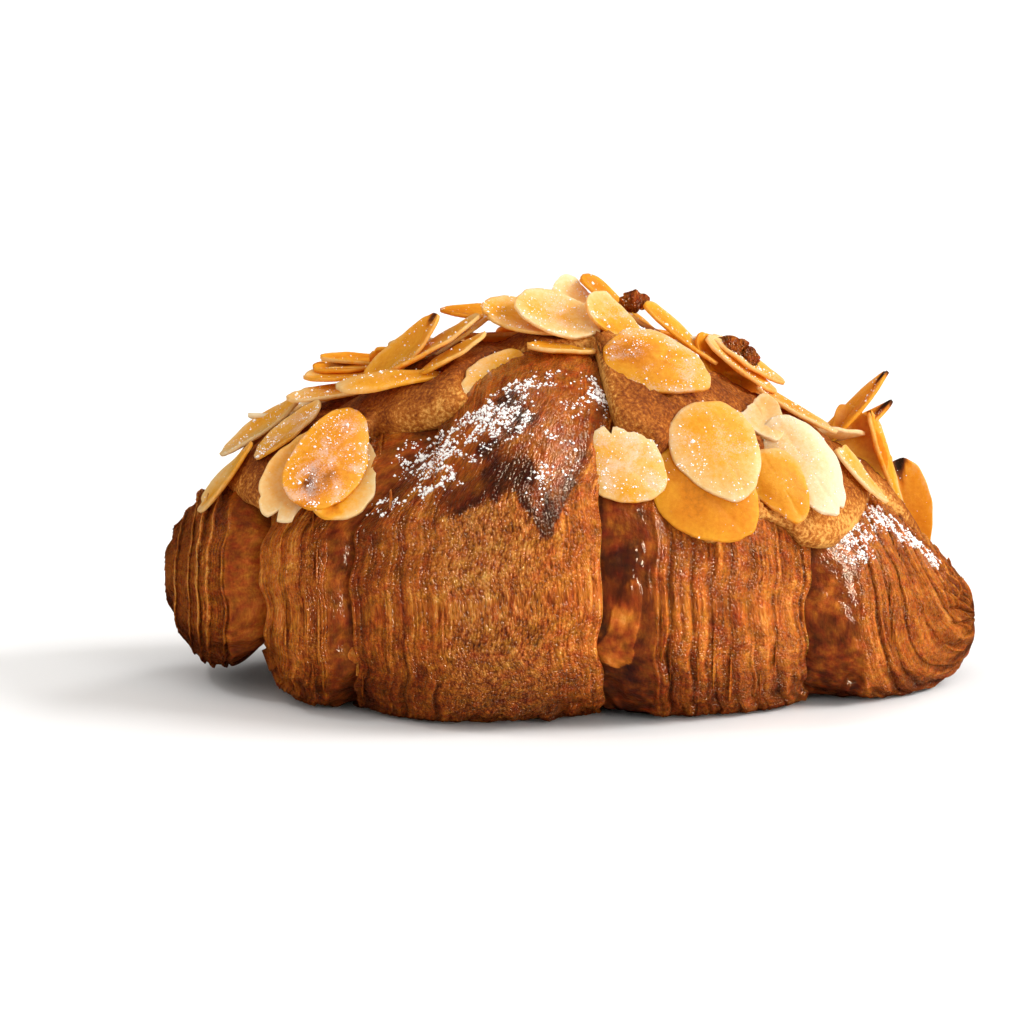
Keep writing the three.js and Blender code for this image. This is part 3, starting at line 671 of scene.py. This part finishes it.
def burning(x, around):
    """Where a smooth skin lies, how burnt the crust is, and where a clear film lies, each from 0 to 1."""
    ragged = rough(BURN_RAGS, x, around, kind=skewed)
    places, turns = zip(*SKIN_EDGE)
    inside = np.interp(x, places, turns) + SKIN_RAGGED * ragged - around
    middle = ease(SKIN_START - 4, SKIN_START + 1, x) * (1 - ease(places[-1], places[-1] + 2, x))
    skin = ease(0, 1.5, inside) * middle * (around > 0)
    spots = patches(BURNT, x, around) * (1 + 0.5 * ragged) + 0.15 * ragged
    rim = np.exp(-((inside / 9) ** 2)) * (1 - 0.6 * ease(-4, 2, x))
    burnt = np.clip(0.9 * skin * rim + ease(0.25, 0.85, spots), 0, 1)
    amber = ease(0.4, 0.48, patches(AMBER, x, around) * (1 + 0.3 * ragged)) * (around > 0)
    return np.maximum(skin, ease(0.42, 0.55, spots)), burnt, amber


def baking(x, around):
    """How much darker than its wrap the crust is at a place."""
    foot = FOOT_BAKE * ease(*FOOT_SPAN, np.abs(around))
    top = TOP_BAKE * (1 - ease(*TOP_SPAN, np.abs(around)))
    return rough(BLOTCHES, x, around) + foot + top


def lobes(x, column):
    """The blend of every lobe's value at x, such as its reach or its thickness."""
    total = 0
    for lobe in CREAM_LOBES:
        weight = np.sqrt(np.maximum(0, 1 - ((x - lobe[0]) / lobe[1]) ** 2))
        total = total + (lobe[column] * weight) ** LOBE_BLEND
    return total ** (1 / LOBE_BLEND)


def cream_thickness(x, around):
    """The cream's thickness at x, so many degrees round from the ridge."""
    reach = np.maximum(np.where(around > 0, lobes(x, FRONT), lobes(x, BACK)), 1)
    share = np.minimum(np.abs(around) / reach, 1)
    return lobes(x, THICK) * (1 - share**2) ** (CREAM_EDGE / 2)


def cream_point(x, around, above):
    """A point on the cream, or that much above it."""
    return roll_point(x, np.radians(90 - around), cream_thickness(x, around) + above)


def cream_grid():
    """Closed rings of points round the cream, from its left end to its right end."""
    start = CREAM_LOBES[0][0] - CREAM_LOBES[0][1]
    end = CREAM_LOBES[-1][0] + CREAM_LOBES[-1][1]
    row = (np.arange(1, CREAM_ROWS) / CREAM_ROWS)[:, None]
    turn = (np.arange(CREAM_COLUMNS) / CREAM_COLUMNS * 2 * np.pi)[None, :]
    x = start + (end - start) * (1 - np.cos(np.pi * row)) / 2 + 0 * turn
    across = np.cos(turn) + 0 * x
    reach = np.where(across > 0, lobes(x, FRONT), lobes(x, BACK))
    around = across * reach * (1 + rough(CREAM_RAGS, x, across))
    lumps = rough(CREAM_LUMPS, x, around)
    rise = np.sin(turn)
    thick = lobes(x, THICK) * np.abs(rise) ** CREAM_EDGE
    outward = np.where(rise >= 0, thick + lumps * rise, CREAM_UNDER * rise * opening(x))
    grid = roll_point(x, np.radians(90 - around), outward)
    return grid, lumps, np.abs(rise) + 0 * x


def ring_faces(rows, columns):
    """Quads between rings of points, each ring closed on itself."""
    r, c = np.meshgrid(np.arange(rows - 1), np.arange(columns), indexing="ij")
    after = (c + 1) % columns
    near = r * columns
    far = near + columns
    return np.stack([near + c, far + c, far + after, near + after], -1).reshape(-1, 4)


def closed_tube(grid):
    """Points and faces of a tube of rings that ends in a point at both ends."""
    rows, columns = grid.shape[:2]
    points = np.concatenate([grid.reshape(-1, 3), grid[:1].mean(axis=1), grid[-1:].mean(axis=1)])
    start = rows * columns
    last = start - columns
    faces = ring_faces(rows, columns).tolist()
    for c in range(columns):
        after = (c + 1) % columns
        faces.append([start, c, after])
        faces.append([start + 1, last + after, last + c])
    return points, faces


def make_piece(name, points, faces, material, smooth=True, **values):
    """A mesh object, with one number for each point under each name in values."""
    mesh = bpy.data.meshes.new(name)
    mesh.from_pydata((np.asarray(points) * MM).tolist(), [], faces)
    for key, value in values.items():
        attribute = mesh.attributes.new(key, "FLOAT", "POINT")
        attribute.data.foreach_set("value", np.asarray(value, dtype=np.float32).ravel())
    if smooth:
        mesh.shade_smooth()
    mesh.materials.append(material)
    piece = bpy.data.objects.new(name, mesh)
    bpy.context.scene.collection.objects.link(piece)
    return piece


def seated(flake):
    """A flake's turn and seat. It is spun in its plane, leaned to the front, then banked as seen there."""
    lean, bank, spin = (math.radians(flake[key]) for key in ("lean", "bank", "spin"))
    leaned = Matrix.Rotation(-bank, 3, "Y") @ Matrix.Rotation(lean, 3, "X")
    seat = cream_point(np.array(float(flake["x"])), np.array(float(flake["round"])), flake["lift"])
    return np.array(leaned @ Matrix.Rotation(spin, 3, "Z")), seat


def back_flakes():
    """Rows for the flakes at the back, spread by steps of irrational ratios."""
    rows = []
    for i in range(BACK_FLAKES["count"]):
        step = {key: (i * ratio) % 1 for key, ratio in STEPS.items()}
        x = span(BACK_FLAKES["x"], (i + 0.5) / BACK_FLAKES["count"])
        around = -float(lobes(np.array(x), BACK)) * span(BACK_FLAKES["reach"], step["round"])
        lift = span(BACK_FLAKES["lift"], step["lift"])
        length = span(BACK_FLAKES["length"], step["size"])
        width = BACK_FLAKES["slim"] * length
        toast = span(BACK_FLAKES["toast"], step["lift"])
        place = (x, around, lift, around, 0, 360 * step["spin"])
        rows.append((*place, length, width, BACK_FLAKES["curl"], toast, BACK_FLAKES["sugar"]))
    return rows


def flakes():
    """Every flake's values by name, those at the front first."""
    return [dict(zip(FLAKE_KEYS, row)) for row in FRONT_FLAKES + back_flakes()]


def wavy_rim(draw, turn, waves, least):
    """An uneven outline at each turn, with waves round it of at least that share of their full height."""
    rim = 1
    for count, size in waves:
        rim = rim + draw.uniform(least, 1) * size * np.sin(count * turn + draw.uniform(0, 2 * np.pi))
    return rim


def flake_rim(draw, turn, broken, notched):
    """A flake's outline at each turn, as a share of its half size, with a straight break if it has one."""
    rim = wavy_rim(draw, turn, RIM_WAVES, 0.4)
    for chip in draw.uniform(0, 2 * np.pi, CHIPS):
        gap = np.abs((turn - chip + np.pi) % (2 * np.pi) - np.pi)
        rim = rim - draw.uniform(*CHIP_DEEP) * np.exp(-((gap / draw.uniform(*CHIP_WIDE)) ** 2))
    if broken:
        toward, reach = broken
        slope = np.maximum(np.cos(turn - math.radians(toward)), 0.1)
        jagged = 1 + 0.03 * np.sin(11 * turn) + 0.02 * np.sin(23 * turn)
        rim = np.minimum(rim, reach / slope * jagged)
    if notched:
        toward, deep, wide = notched
        gap = np.degrees(np.abs((turn - math.radians(toward) + np.pi) % (2 * np.pi) - np.pi))
        rim = rim - deep * np.maximum(0, 1 - gap / wide)
    return rim


def flake_mesh(flake, number, broken):
    """One flake's rings of points and the toasting of each point."""
    draw = np.random.default_rng(500 + number)
    turn = np.linspace(0, 2 * np.pi, FLAKE_AROUND, endpoint=False)
    shares = np.array(FLAKE_RINGS + FLAKE_RINGS[::-1])[:, None]
    side = np.where(np.arange(len(shares)) < len(FLAKE_RINGS), 1, -1)[:, None]
    out = shares * flake_rim(draw, turn, broken, NOTCHED.get(number))[None, :]
    along = out * np.cos(turn)
    across = out * np.sin(turn) * (1 - FLAKE_TAPER * along)
    dish = flake["curl"] * (along**2 + across**2 - 0.5)
    twist = draw.uniform(-FLAKE_TWIST, FLAKE_TWIST) * along * across
    ripple = FLAKE_RIPPLE * noise(along * 3 + number * 7, across * 2.5, 700)
    seam = SEAM_DEEP * np.exp(-((across / SEAM_WIDE) ** 2)) * ease(0.1, 0.5, np.abs(along))
    half = FLAKE_THICK / 2 * (1 - 0.2 * shares**8) - seam
    height = side * half + dish + twist + ripple
    local = np.stack([along * flake["length"] / 2, across * flake["width"] / 2, height], -1)
    turned, seat = seated(flake)
    placed = local @ turned.T + seat
    blotch = noise(along * 1.6 + number * 5, across * 1.6, 710)
    # A paler rim: partly the cut edge's own tone, partly painted highlight where the edge catches the light.
    rim = RIM_TOAST_AND_HIGHLIGHT * ease(0.7, 1.0, shares)
    toast = flake["toast"] + rim + TOAST_BLOTCH * blotch
    toast = toast + draw.uniform(-TOAST_ALONG, TOAST_ALONG) * along
    toast = toast + draw.uniform(-TOAST_ACROSS, TOAST_ACROSS) * across
    for spot, at_along, at_across, size, strength in BURNT_SPOTS:
        if spot == number:
            ragged = 1 + 0.5 * noise(along * 6, across * 6, 720)
            away = ((along - at_along) ** 2 + (across - at_across) ** 2) / (size * ragged) ** 2
            toast = toast + (1.0 - toast) * strength * np.exp(-(away**2))
    return placed, toast


def srgb(red, green, blue):
    """A colour's linear values, from its 0 to 255 screen values."""
    c = np.array([red, green, blue]) / 255
    linear = np.where(c <= 0.04045, c / 12.92, ((c + 0.055) / 1.055) ** 2.4)
    return (*linear.tolist(), 1.0)


class Look:
    """A material, or the room's light, under construction."""

    def __init__(self, owner, surface="Principled BSDF"):
        owner.use_nodes = True
        self.owner = owner
        self.nodes = owner.node_tree.nodes
        self.links = owner.node_tree.links
        self.surface = self.nodes[surface]

    def add(self, kind, inputs=None, **settings):
        """A new node with its settings, and with inputs given as values or as other nodes' outputs."""
        node = self.nodes.new("ShaderNode" + kind)
        for key, value in settings.items():
            setattr(node, key, value)
        self.set(node, inputs or {})
        return node

    def set(self, node, inputs):
        """Give a node's inputs values, or links to other nodes' outputs."""
        for key, value in inputs.items():
            if isinstance(value, bpy.types.NodeSocket):
                self.links.new(value, node.inputs[key])
            else:
                node.inputs[key].default_value = value

    def done(self, inputs):
        """The material or room, once its surface has these inputs."""
        self.set(self.surface, inputs)
        return self.owner

    def value(self, name):
        """A number that the mesh holds for each point."""
        return self.add("Attribute", attribute_name=name).outputs["Fac"]

    def sum(self, *terms):
        """Sum of pairs of a factor and a socket or number."""
        total = 0.0
        for factor, term in terms:
            total = self.add("Math", {0: term, 1: factor, 2: total}, operation="MULTIPLY_ADD").outputs[0]
        return total

    def place(self, x, y):
        """A place on the surface from two sockets."""
        return self.add("CombineXYZ", {"X": x, "Y": y}).outputs[0]

    def grain(self, vector, scale, detail=3.0, roughness=0.5):
        """Noise from 0 to 1 at a place, with so many bumps for each unit."""
        inputs = {"Vector": vector, "Scale": scale, "Detail": detail, "Roughness": roughness}
        return self.add("TexNoise", inputs).outputs[0]

    def ramp(self, position, stops):
        """Colours along a value, from rows of a place and a colour."""
        node = self.add("ValToRGB", {"Fac": position})
        elements = node.color_ramp.elements
        while len(elements) < len(stops):
            elements.new(0.5)
        for element, (place, *colour) in zip(elements, stops):
            element.position = place
            element.color = srgb(*colour)
        return node.outputs["Color"]

    def bump(self, height, distance, strength, **more):
        """A normal that stands for bumps of a height."""
        inputs = {"Height": height, "Distance": distance * MM, "Strength": strength}
        return self.add("Bump", inputs | more).outputs["Normal"]

    def dusted(self, colour, powder):
        """A colour under icing sugar that lies where powder is over about a half."""
        limits = {"From Min": 0.45, "From Max": 0.75, "To Max": DUST_COVER}
        cover = self.add("MapRange", {"Value": powder} | limits).outputs[0]
        mixed = self.add("Mix", {0: cover, 6: colour, 7: srgb(*SUGAR_COLOUR)}, data_type="RGBA")
        return mixed.outputs[2]


def crust_look():
    """Baked pastry: golden to burnt, with painted shade between its layers and in its pits and painted
    highlight on the layers' crests, with fibres, blisters and a thin glaze.
    """
    look = Look(bpy.data.materials.new("crust"))
    across = look.value("across")
    arc = look.value("arc")
    crumb = look.value("crumb")
    flat = look.place(across, arc)
    strand = look.place(across, look.sum((STRAND_STRETCH, arc)))
    fibres = look.grain(strand, *FIBRES)
    grains = look.grain(look.place(across, look.sum((GRAIN_STRETCH, arc))), *GRAINS)
    warp = look.place(look.sum((1.0, across), (0.3, grains)), look.sum((PIT_STRETCH, arc), (0.3, fibres)))
    cells = look.add("TexVoronoi", {"Vector": warp, "Scale": PIT_SCALE}, voronoi_dimensions="2D")
    # Depth of the hollows between blisters: used for the bumps, and in the tone as painted shade in those
    # hollows.
    pits_and_pit_shade = look.sum((crumb, look.sum((1.0, cells.outputs["Distance"]), (-0.8, grains), (1.0, 0.02))))
    # The layer value lightens the layers' crests and darkens their grooves: the layers' own tone with painted
    # highlight and painted shade.
    tone = look.sum(
        (1.0, look.value("bake")),
        (-0.26, look.value("layer_tone_and_shade")),
        (look.sum((0.8, crumb), (1.0, 0.35)), look.sum((1.0, fibres), (1.0, -0.5))),
        (0.3, pits_and_pit_shade),
        (0.75, look.sum((1.0, look.grain(flat, *MOTTLES)), (1.0, -0.5))),
        (1.0, -0.1),
    )
    hue = look.sum((HUE_SPREAD, look.grain(flat, *GOLDEN)), (1.0, 0.5 - HUE_SPREAD / 2))
    colour = look.add("HueSaturation", {"Hue": hue, "Color": look.ramp(tone, CRUST_COLOURS)}).outputs[0]
    strands = look.sum((look.sum((1.0, crumb), (1.0, 0.04)), look.grain(strand, *STRANDS)))
    creased = look.bump(look.sum((1.0, strands), (0.3, look.grain(flat, *WRINKLES))), 0.6, 0.9)
    normal = look.bump(look.sum((-1.0, pits_and_pit_shade)), 0.8, 1.0, Normal=creased)
    return look.done({
        "Base Color": colour, "Normal": normal, "Coat Normal": normal,
        "Roughness": look.sum((0.12, crumb), (1.0, 0.3)),
        "Specular IOR Level": 0.12, "Specular Tint": CRUST_SHEEN,
        "Subsurface Weight": 0.25, "Subsurface Scale": 1.0,
        "Subsurface Radius": (1.2 * MM, 0.45 * MM, 0.18 * MM),
        "Coat Weight": 1.0, "Coat Roughness": 0.09,
    })


def cream_look():
    """Baked almond cream: pale at its margins, browned and speckled on top."""
    look = Look(bpy.data.materials.new("cream"))
    place = look.add("TexCoord").outputs["Object"]
    speckle = look.grain(place, *CREAM_SPECKLE)
    cloud = look.grain(place, *CREAM_CLOUD)
    tone = look.sum((1.0, look.value("brown")), (1.5, speckle), (0.6, cloud), (1.0, -1.05))
    return look.done({
        "Base Color": look.ramp(tone, CREAM_COLOURS),
        "Normal": look.bump(speckle, 0.6, 0.8),
        "Roughness": 0.6, "Specular IOR Level": 0.15,
        "Subsurface Weight": 0.15, "Subsurface Scale": 1.0,
        "Subsurface Radius": (1.5 * MM, 0.8 * MM, 0.4 * MM),
    })


def almond_look():
    """Toasted almond: pale and a little clear, amber to brown by its toasting, dusted with icing sugar."""
    look = Look(bpy.data.materials.new("almonds"))
    place = look.add("TexCoord").outputs["Object"]
    speckle = look.grain(place, *ALMOND_SPECKLE)
    powder = look.sum((0.5, look.value("dust")), (1.0, look.grain(place, *POWDER)), (1.0, -0.25))
    colour = look.ramp(look.sum((1.0, look.value("toast")), (0.3, speckle), (1.0, -0.09)), ALMOND_COLOURS)
    deep = look.add("Gamma", {"Color": colour, "Gamma": 1.2}).outputs[0]
    glow = look.add("BsdfTranslucent", {"Color": deep}).outputs[0]
    mixed = look.add("MixShader", {0: ALMOND_CLEARNESS, 1: look.surface.outputs[0], 2: glow})
    look.links.new(mixed.outputs[0], look.nodes["Material Output"].inputs["Surface"])
    return look.done({
        "Base Color": look.dusted(colour, powder),
        "Normal": look.bump(speckle, 0.2, 0.6),
        "Roughness": 0.4, "Specular IOR Level": 0.4, "Specular Tint": ALMOND_SHEEN,
    })


def plain_look(name, colour, **inputs):
    """One colour all over."""
    return Look(bpy.data.materials.new(name)).done({"Base Color": colour} | inputs)


def with_tips(values):
    """A closed tube's values in the order of its points, the two end points last."""
    return np.concatenate([values.ravel(), values[0, :1], values[-1, :1]])


def dress(piece, node=None):
    """Tie a piece to the part, and hide the node that it replaces."""
    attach(piece, "root")
    if node:
        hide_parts(node)


def crust(look):
    """The pastry's five wraps, in place of its solid. Returns their arrays."""
    wraps = [wrap_arrays(k) for k in range(len(WRAPS))]
    for k, wrap in enumerate(wraps):
        points, faces = closed_tube(wrap["points"])
        values = {key: with_tips(wrap[key]) for key in CRUST_VALUES}
        dress(make_piece(f"wrap_{k + 1}", points, faces, look, **values), "pastry")
    return wraps


def pressed(points):
    """Points of the cream, pushed in under each flake that lies on it."""
    for flake in flakes():
        turn, seat = seated(flake)
        slope = math.radians(flake["round"])
        if turn[:, 2] @ np.array([0, -math.sin(slope), math.cos(slope)]) < LYING:
            continue
        along, across, height = np.moveaxis((points - seat) @ turn, -1, 0)
        along = along / (flake["length"] / 2)
        across = across / (flake["width"] / 2)
        away = np.hypot(along, across)
        under = flake["curl"] * (np.minimum(away, 1) ** 2 - 0.5) - FLAKE_THICK
        deep = np.where((height > under) & (height < PRESS_REACH), height - under, 0)
        points = points - (deep * (1 - ease(0.95, 1.15, away)))[..., None] * turn[:, 2]
    return points


def cream():
    """The cream, browner on top and towards the left."""
    grid, lumps, across = cream_grid()
    points, faces = closed_tube(pressed(grid))
    brown = CREAM_BROWN["least"] + CREAM_BROWN["lumps"] * lumps + CREAM_BROWN["top"] * ease(0.25, 0.9, across)
    brown = brown + CREAM_BROWN["left"] * (1 - ease(-35, 0, grid[..., 0]))
    dress(make_piece("cream", points, faces, cream_look(), brown=with_tips(brown)), "almond_cream")


def joined(grids):
    """Points and faces of several closed tubes as one mesh."""
    all_points, all_faces, count = [], [], 0
    for grid in grids:
        points, faces = closed_tube(grid)
        all_points.append(points)
        all_faces += [[count + i for i in face] for face in faces]
        count += len(points)
    return np.concatenate(all_points), all_faces


def almonds():
    """Every flake in one piece. Returns the upper faces' rings with the sugar that each may hold."""
    grids, toasts, dusts, seats = [], [], [], []
    broken = dict(BROKEN)
    for i in range(0, BACK_FLAKES["count"], BROKEN_EVERY):
        broken[len(FRONT_FLAKES) + i] = (BREAK_TURN * i, BREAK_REACH)
    for number, flake in enumerate(flakes()):
        placed, toast = flake_mesh(flake, number, broken.get(number))
        grids.append(placed)
        toasts.append(with_tips(toast))
        clusters = rough(DUST_CLUSTERS, placed[..., 0], placed[..., 1] + placed[..., 2], kind=skewed)
        upper = np.arange(len(placed))[:, None] < len(FLAKE_RINGS)
        dusts.append(with_tips(flake["sugar"] * np.clip(0.5 + clusters, 0, 1) * upper))
        seats.append((placed[: len(FLAKE_RINGS)], flake["sugar"]))
    points, faces = joined(grids)
    values = dict(toast=np.concatenate(toasts), dust=np.concatenate(dusts))
    dress(make_piece("almonds", points, faces, almond_look(), **values), "almond_cream")
    return seats


def wrap_outward(k, x, angle):
    """How far wrap k stands out from the smooth roll at a place, without its fine layers."""
    start = edge_at(k, angle)
    share = (x - start) / (edge_at(k + 1, angle) - start)
    return swell(WRAPS[k], np.clip(share, 0, 1)) + lumpy(x, angle)


def peel_grid(peel, number):
    """Rings of points of a thin flake of crust that lifts off its wrap at one side."""
    draw = np.random.default_rng(600 + number)
    turn = np.linspace(0, 2 * np.pi, PEEL_AROUND, endpoint=False)
    rim = wavy_rim(draw, turn, PEEL_WAVES, 0.5)
    shares = np.array(PEEL_RINGS + (1.0,) + PEEL_RINGS[::-1])[:, None]
    side = np.where(np.arange(len(shares)) < len(PEEL_RINGS), 1, -1)[:, None]
    u = shares * rim * np.cos(turn)
    v = shares * rim * np.sin(turn)
    x = peel["x"] + peel["along"] * u
    angle = np.radians(90 - peel["round"] - peel["across"] * v)
    toward = math.radians(peel["toward"])
    free = ease(-0.6, 1.0, u * math.cos(toward) + v * math.sin(toward))
    lift = peel["sunk"] + peel["lift"] * free**1.5 + 0.25 * noise(u * 2 + number, v * 2, 610)
    half = np.where(shares == 1.0, 0, PEEL_THICK / 2)
    return roll_point(x, angle, wrap_outward(peel["wrap"], x, angle) + lift + side * half)


def slivers():
    """Peels for the thin slivers, spread at random over the wraps whose layers show."""
    draw = np.random.default_rng(640)
    rows = []
    for number in range(SLIVERS["count"]):
        k = SLIVER_WRAPS[number % len(SLIVER_WRAPS)]
        wrap = WRAPS[k]
        around = draw.uniform(*SLIVERS["round"]) * (1 if number % 3 else -1)
        first, last = wrap["cut"]
        share = draw.uniform(first, min(last, SHOWN_CUT))
        if wrap["under"] == "none" and number % 2:
            share = draw.uniform(STRIP_FROM, STRIP_TO)
        angle = np.array(math.radians(90 - around))
        x = float(span((edge_at(k, angle), edge_at(k + 1, angle)), share))
        row = dict(wrap=k, x=x, round=around, sunk=0)
        row["along"] = draw.uniform(*SLIVERS["wide"])
        row["across"] = draw.uniform(*SLIVERS["long"])
        row["toward"] = 0 if draw.uniform() < SLIVERS["right"] else 180
        row["lift"] = draw.uniform(*SLIVERS["lift"])
        row["bake"] = float(across_values(wrap["bake"], share)) + draw.uniform(*SLIVERS["bake"])
        rows.append(row)
    return rows


def crumb_grid(place, size, number):
    """Rings of points of a craggy lump."""
    row = np.linspace(0, np.pi, CRUMB_ROWS + 2)[1:-1, None]
    turn = np.linspace(0, 2 * np.pi, CRUMB_COLUMNS, endpoint=False)[None, :]
    ball = np.stack([-np.cos(row) + 0 * turn, -np.sin(row) * np.cos(turn), np.sin(row) * np.sin(turn)], -1)
    x, y, z = np.moveaxis(ball, -1, 0)
    crags = 1 + 0.3 * noise(2.2 * x + 9 * number, 2.2 * y + 1.7 * z, 620)
    crags = crags + 0.2 * noise(5 * x + z, 5 * y - 4 * z, 621)
    return ball * crags[..., None] * np.array(size) + np.array(place)


def loose_crust(look):
    """Thin flakes that peel off the crust and small burnt lumps on top, in one piece."""
    peels = PEELS + slivers()
    grids = [peel_grid(peel, number) for number, peel in enumerate(peels)]
    tones = [(peel["bake"], PEEL_CRUMB) for peel in peels]
    for number, (place, size, bake) in enumerate(CRUMBS):
        grids.append(crumb_grid(place, size, number))
        tones.append((bake, LUMP_CRUMB))
    points, faces = joined(grids)
    counts = [grid.shape[0] * grid.shape[1] + 2 for grid in grids]
    bake, crumb = np.repeat(np.array(tones), counts, axis=0).T
    values = dict(across=points[:, 0], arc=points[:, 2], layer_tone_and_shade=0 * bake, bake=bake, crumb=crumb)
    dress(make_piece("loose_crust", points, faces, look, **values))


def sprinkled(draw, grid, density):
    """Random places on a grid of points, with so many expected for each square millimetre."""
    after = np.roll(grid, -1, axis=1)[:-1]
    area = np.linalg.norm(np.cross(grid[1:] - grid[:-1], after - grid[:-1]), axis=-1)
    counts = draw.poisson(density[:-1] * area)
    rows, columns = np.divmod(np.repeat(np.arange(counts.size), counts.ravel()), grid.shape[1])
    beside = (columns + 1) % grid.shape[1]
    u = draw.uniform(0, 1, (len(rows), 1))
    v = draw.uniform(0, 1, (len(rows), 1))
    near = grid[rows, columns] * (1 - v) + grid[rows, beside] * v
    far = grid[rows + 1, columns] * (1 - v) + grid[rows + 1, beside] * v
    return near * (1 - u) + far * u


def sugar(wraps, seats):
    """Grains of icing sugar in clusters on the crust and on the flakes."""
    draw = np.random.default_rng(900)
    spots, sizes = [], []
    for wrap in wraps:
        x = wrap["x"]
        around = wrap["around"]
        clusters = rough(CRUST_CLUSTERS, x, around, kind=skewed)
        thick = patches(SUGARED, x, around)
        chance = ease(0.3, 0.5, clusters + 0.2 * wrap["layer_tone_and_shade"] + 0.5 * thick) * ease(0.1, 0.6, thick)
        chance = chance + 0.05 * ease(0.05, 0.5, thick)
        spots.append(sprinkled(draw, wrap["points"], CRUST_SUGAR * chance))
        sizes.append(np.full(len(spots[-1]), 1.0))
    for grid, amount in seats:
        clusters = rough(FLAKE_CLUSTERS, grid[..., 0], grid[..., 1] + grid[..., 2], kind=skewed)
        chance = amount * (0.12 + ease(0.1, 0.6, clusters + 0.2 * amount))
        spots.append(sprinkled(draw, grid, FLAKE_SUGAR * chance))
        sizes.append(np.full(len(spots[-1]), FLAKE_GRAINS))
    spots = np.concatenate(spots)
    spots = spots + draw.normal(0, GRAIN_SCATTER, spots.shape)
    size = np.exp(draw.normal(*GRAIN_SIZE, len(spots))) * np.concatenate(sizes)
    size = np.minimum(size, GRAIN_LARGEST)[:, None, None]
    shapes = GRAIN_CORNERS[None] * draw.uniform(*GRAIN_UNEVEN, (len(spots), len(GRAIN_CORNERS), 1)) * size
    faces = np.array(GRAIN_SIDES)[None] + len(GRAIN_CORNERS) * np.arange(len(spots))[:, None, None]
    points = (shapes + spots[:, None, :]).reshape(-1, 3)
    look = plain_look("icing_sugar", srgb(*SUGAR_COLOUR), **{"Roughness": 0.85, "Specular IOR Level": 0.2})
    dress(make_piece("icing_sugar", points, faces.reshape(-1, 3).tolist(), look, smooth=False))


def floor():
    """A wide pale floor."""
    corners = [(x * FLOOR_HALF, y * FLOOR_HALF, 0) for x, y in ((-1, -1), (1, -1), (1, 1), (-1, 1))]
    look = plain_look("floor", FLOOR_COLOUR, Roughness=0.6)
    piece = make_piece("floor", corners, [[0, 1, 2, 3]], look, smooth=False)
    piece.visible_glossy = False


def shine(name, kind, source, **settings):
    """A light that shines from a direction towards the middle."""
    light = bpy.data.lights.new(name, kind)
    for key, value in settings.items():
        setattr(light, key, value)
    lamp = bpy.data.objects.new(name, light)
    lamp.rotation_euler = (-Vector(source)).to_track_quat("-Z", "Y").to_euler()
    bpy.context.scene.collection.objects.link(lamp)
    return lamp


def lights():
    """Soft lamps, strips for the gloss, and a white room that is brighter to the right and in front."""
    room = Look(bpy.data.worlds.new("studio"), "Background")
    place = room.add("TexCoord").outputs["Generated"]
    lean = room.add("VectorMath", {0: place, 1: ROOM_LEAN}, operation="DOT_PRODUCT").outputs["Value"]
    level = room.add("Math", {0: lean, 1: ROOM_LIGHT}).outputs[0]
    bpy.context.scene.world = room.done({"Color": ROOM_COLOUR, "Strength": level})
    bpy.context.scene.world.cycles_visibility.glossy = False
    for name, source, strength, softness in LAMPS:
        lamp = shine(name, "SUN", source, energy=strength, angle=math.radians(softness))
        lamp.visible_glossy = False
    for name, source, distance, wide, tall, power in STRIPS:
        size = dict(shape="RECTANGLE", size=wide, size_y=tall)
        lamp = shine(name, "AREA", source, energy=power, color=STRIP_COLOUR, **size)
        lamp.location = Vector(source).normalized() * distance
        lamp.visible_diffuse = False
        lamp.visible_transmission = False
    bpy.context.scene.view_settings.view_transform = "Standard"


def camera():
    """The photograph's view."""
    lens = bpy.data.cameras.new("photo_view")
    lens.sensor_width = SENSOR
    lens.lens = VIEW_DISTANCE * PIXELS_PER_MM / IMAGE_SIZE * SENSOR
    lens.clip_end = FAR_END
    piece = bpy.data.objects.new("photo_view", lens)
    back = Vector((0, -math.cos(VIEW_ELEVATION), math.sin(VIEW_ELEVATION)))
    piece.location = (Vector(VIEW_TARGET) + back * VIEW_DISTANCE) * MM
    piece.rotation_euler = (math.pi / 2 - VIEW_ELEVATION, 0, 0)
    bpy.context.scene.collection.objects.link(piece)
    bpy.context.scene.camera = piece


camera()
lights()
floor()
pastry_look = crust_look()
crust_wraps = crust(pastry_look)
loose_crust(pastry_look)
cream()
sugar(crust_wraps, almonds())
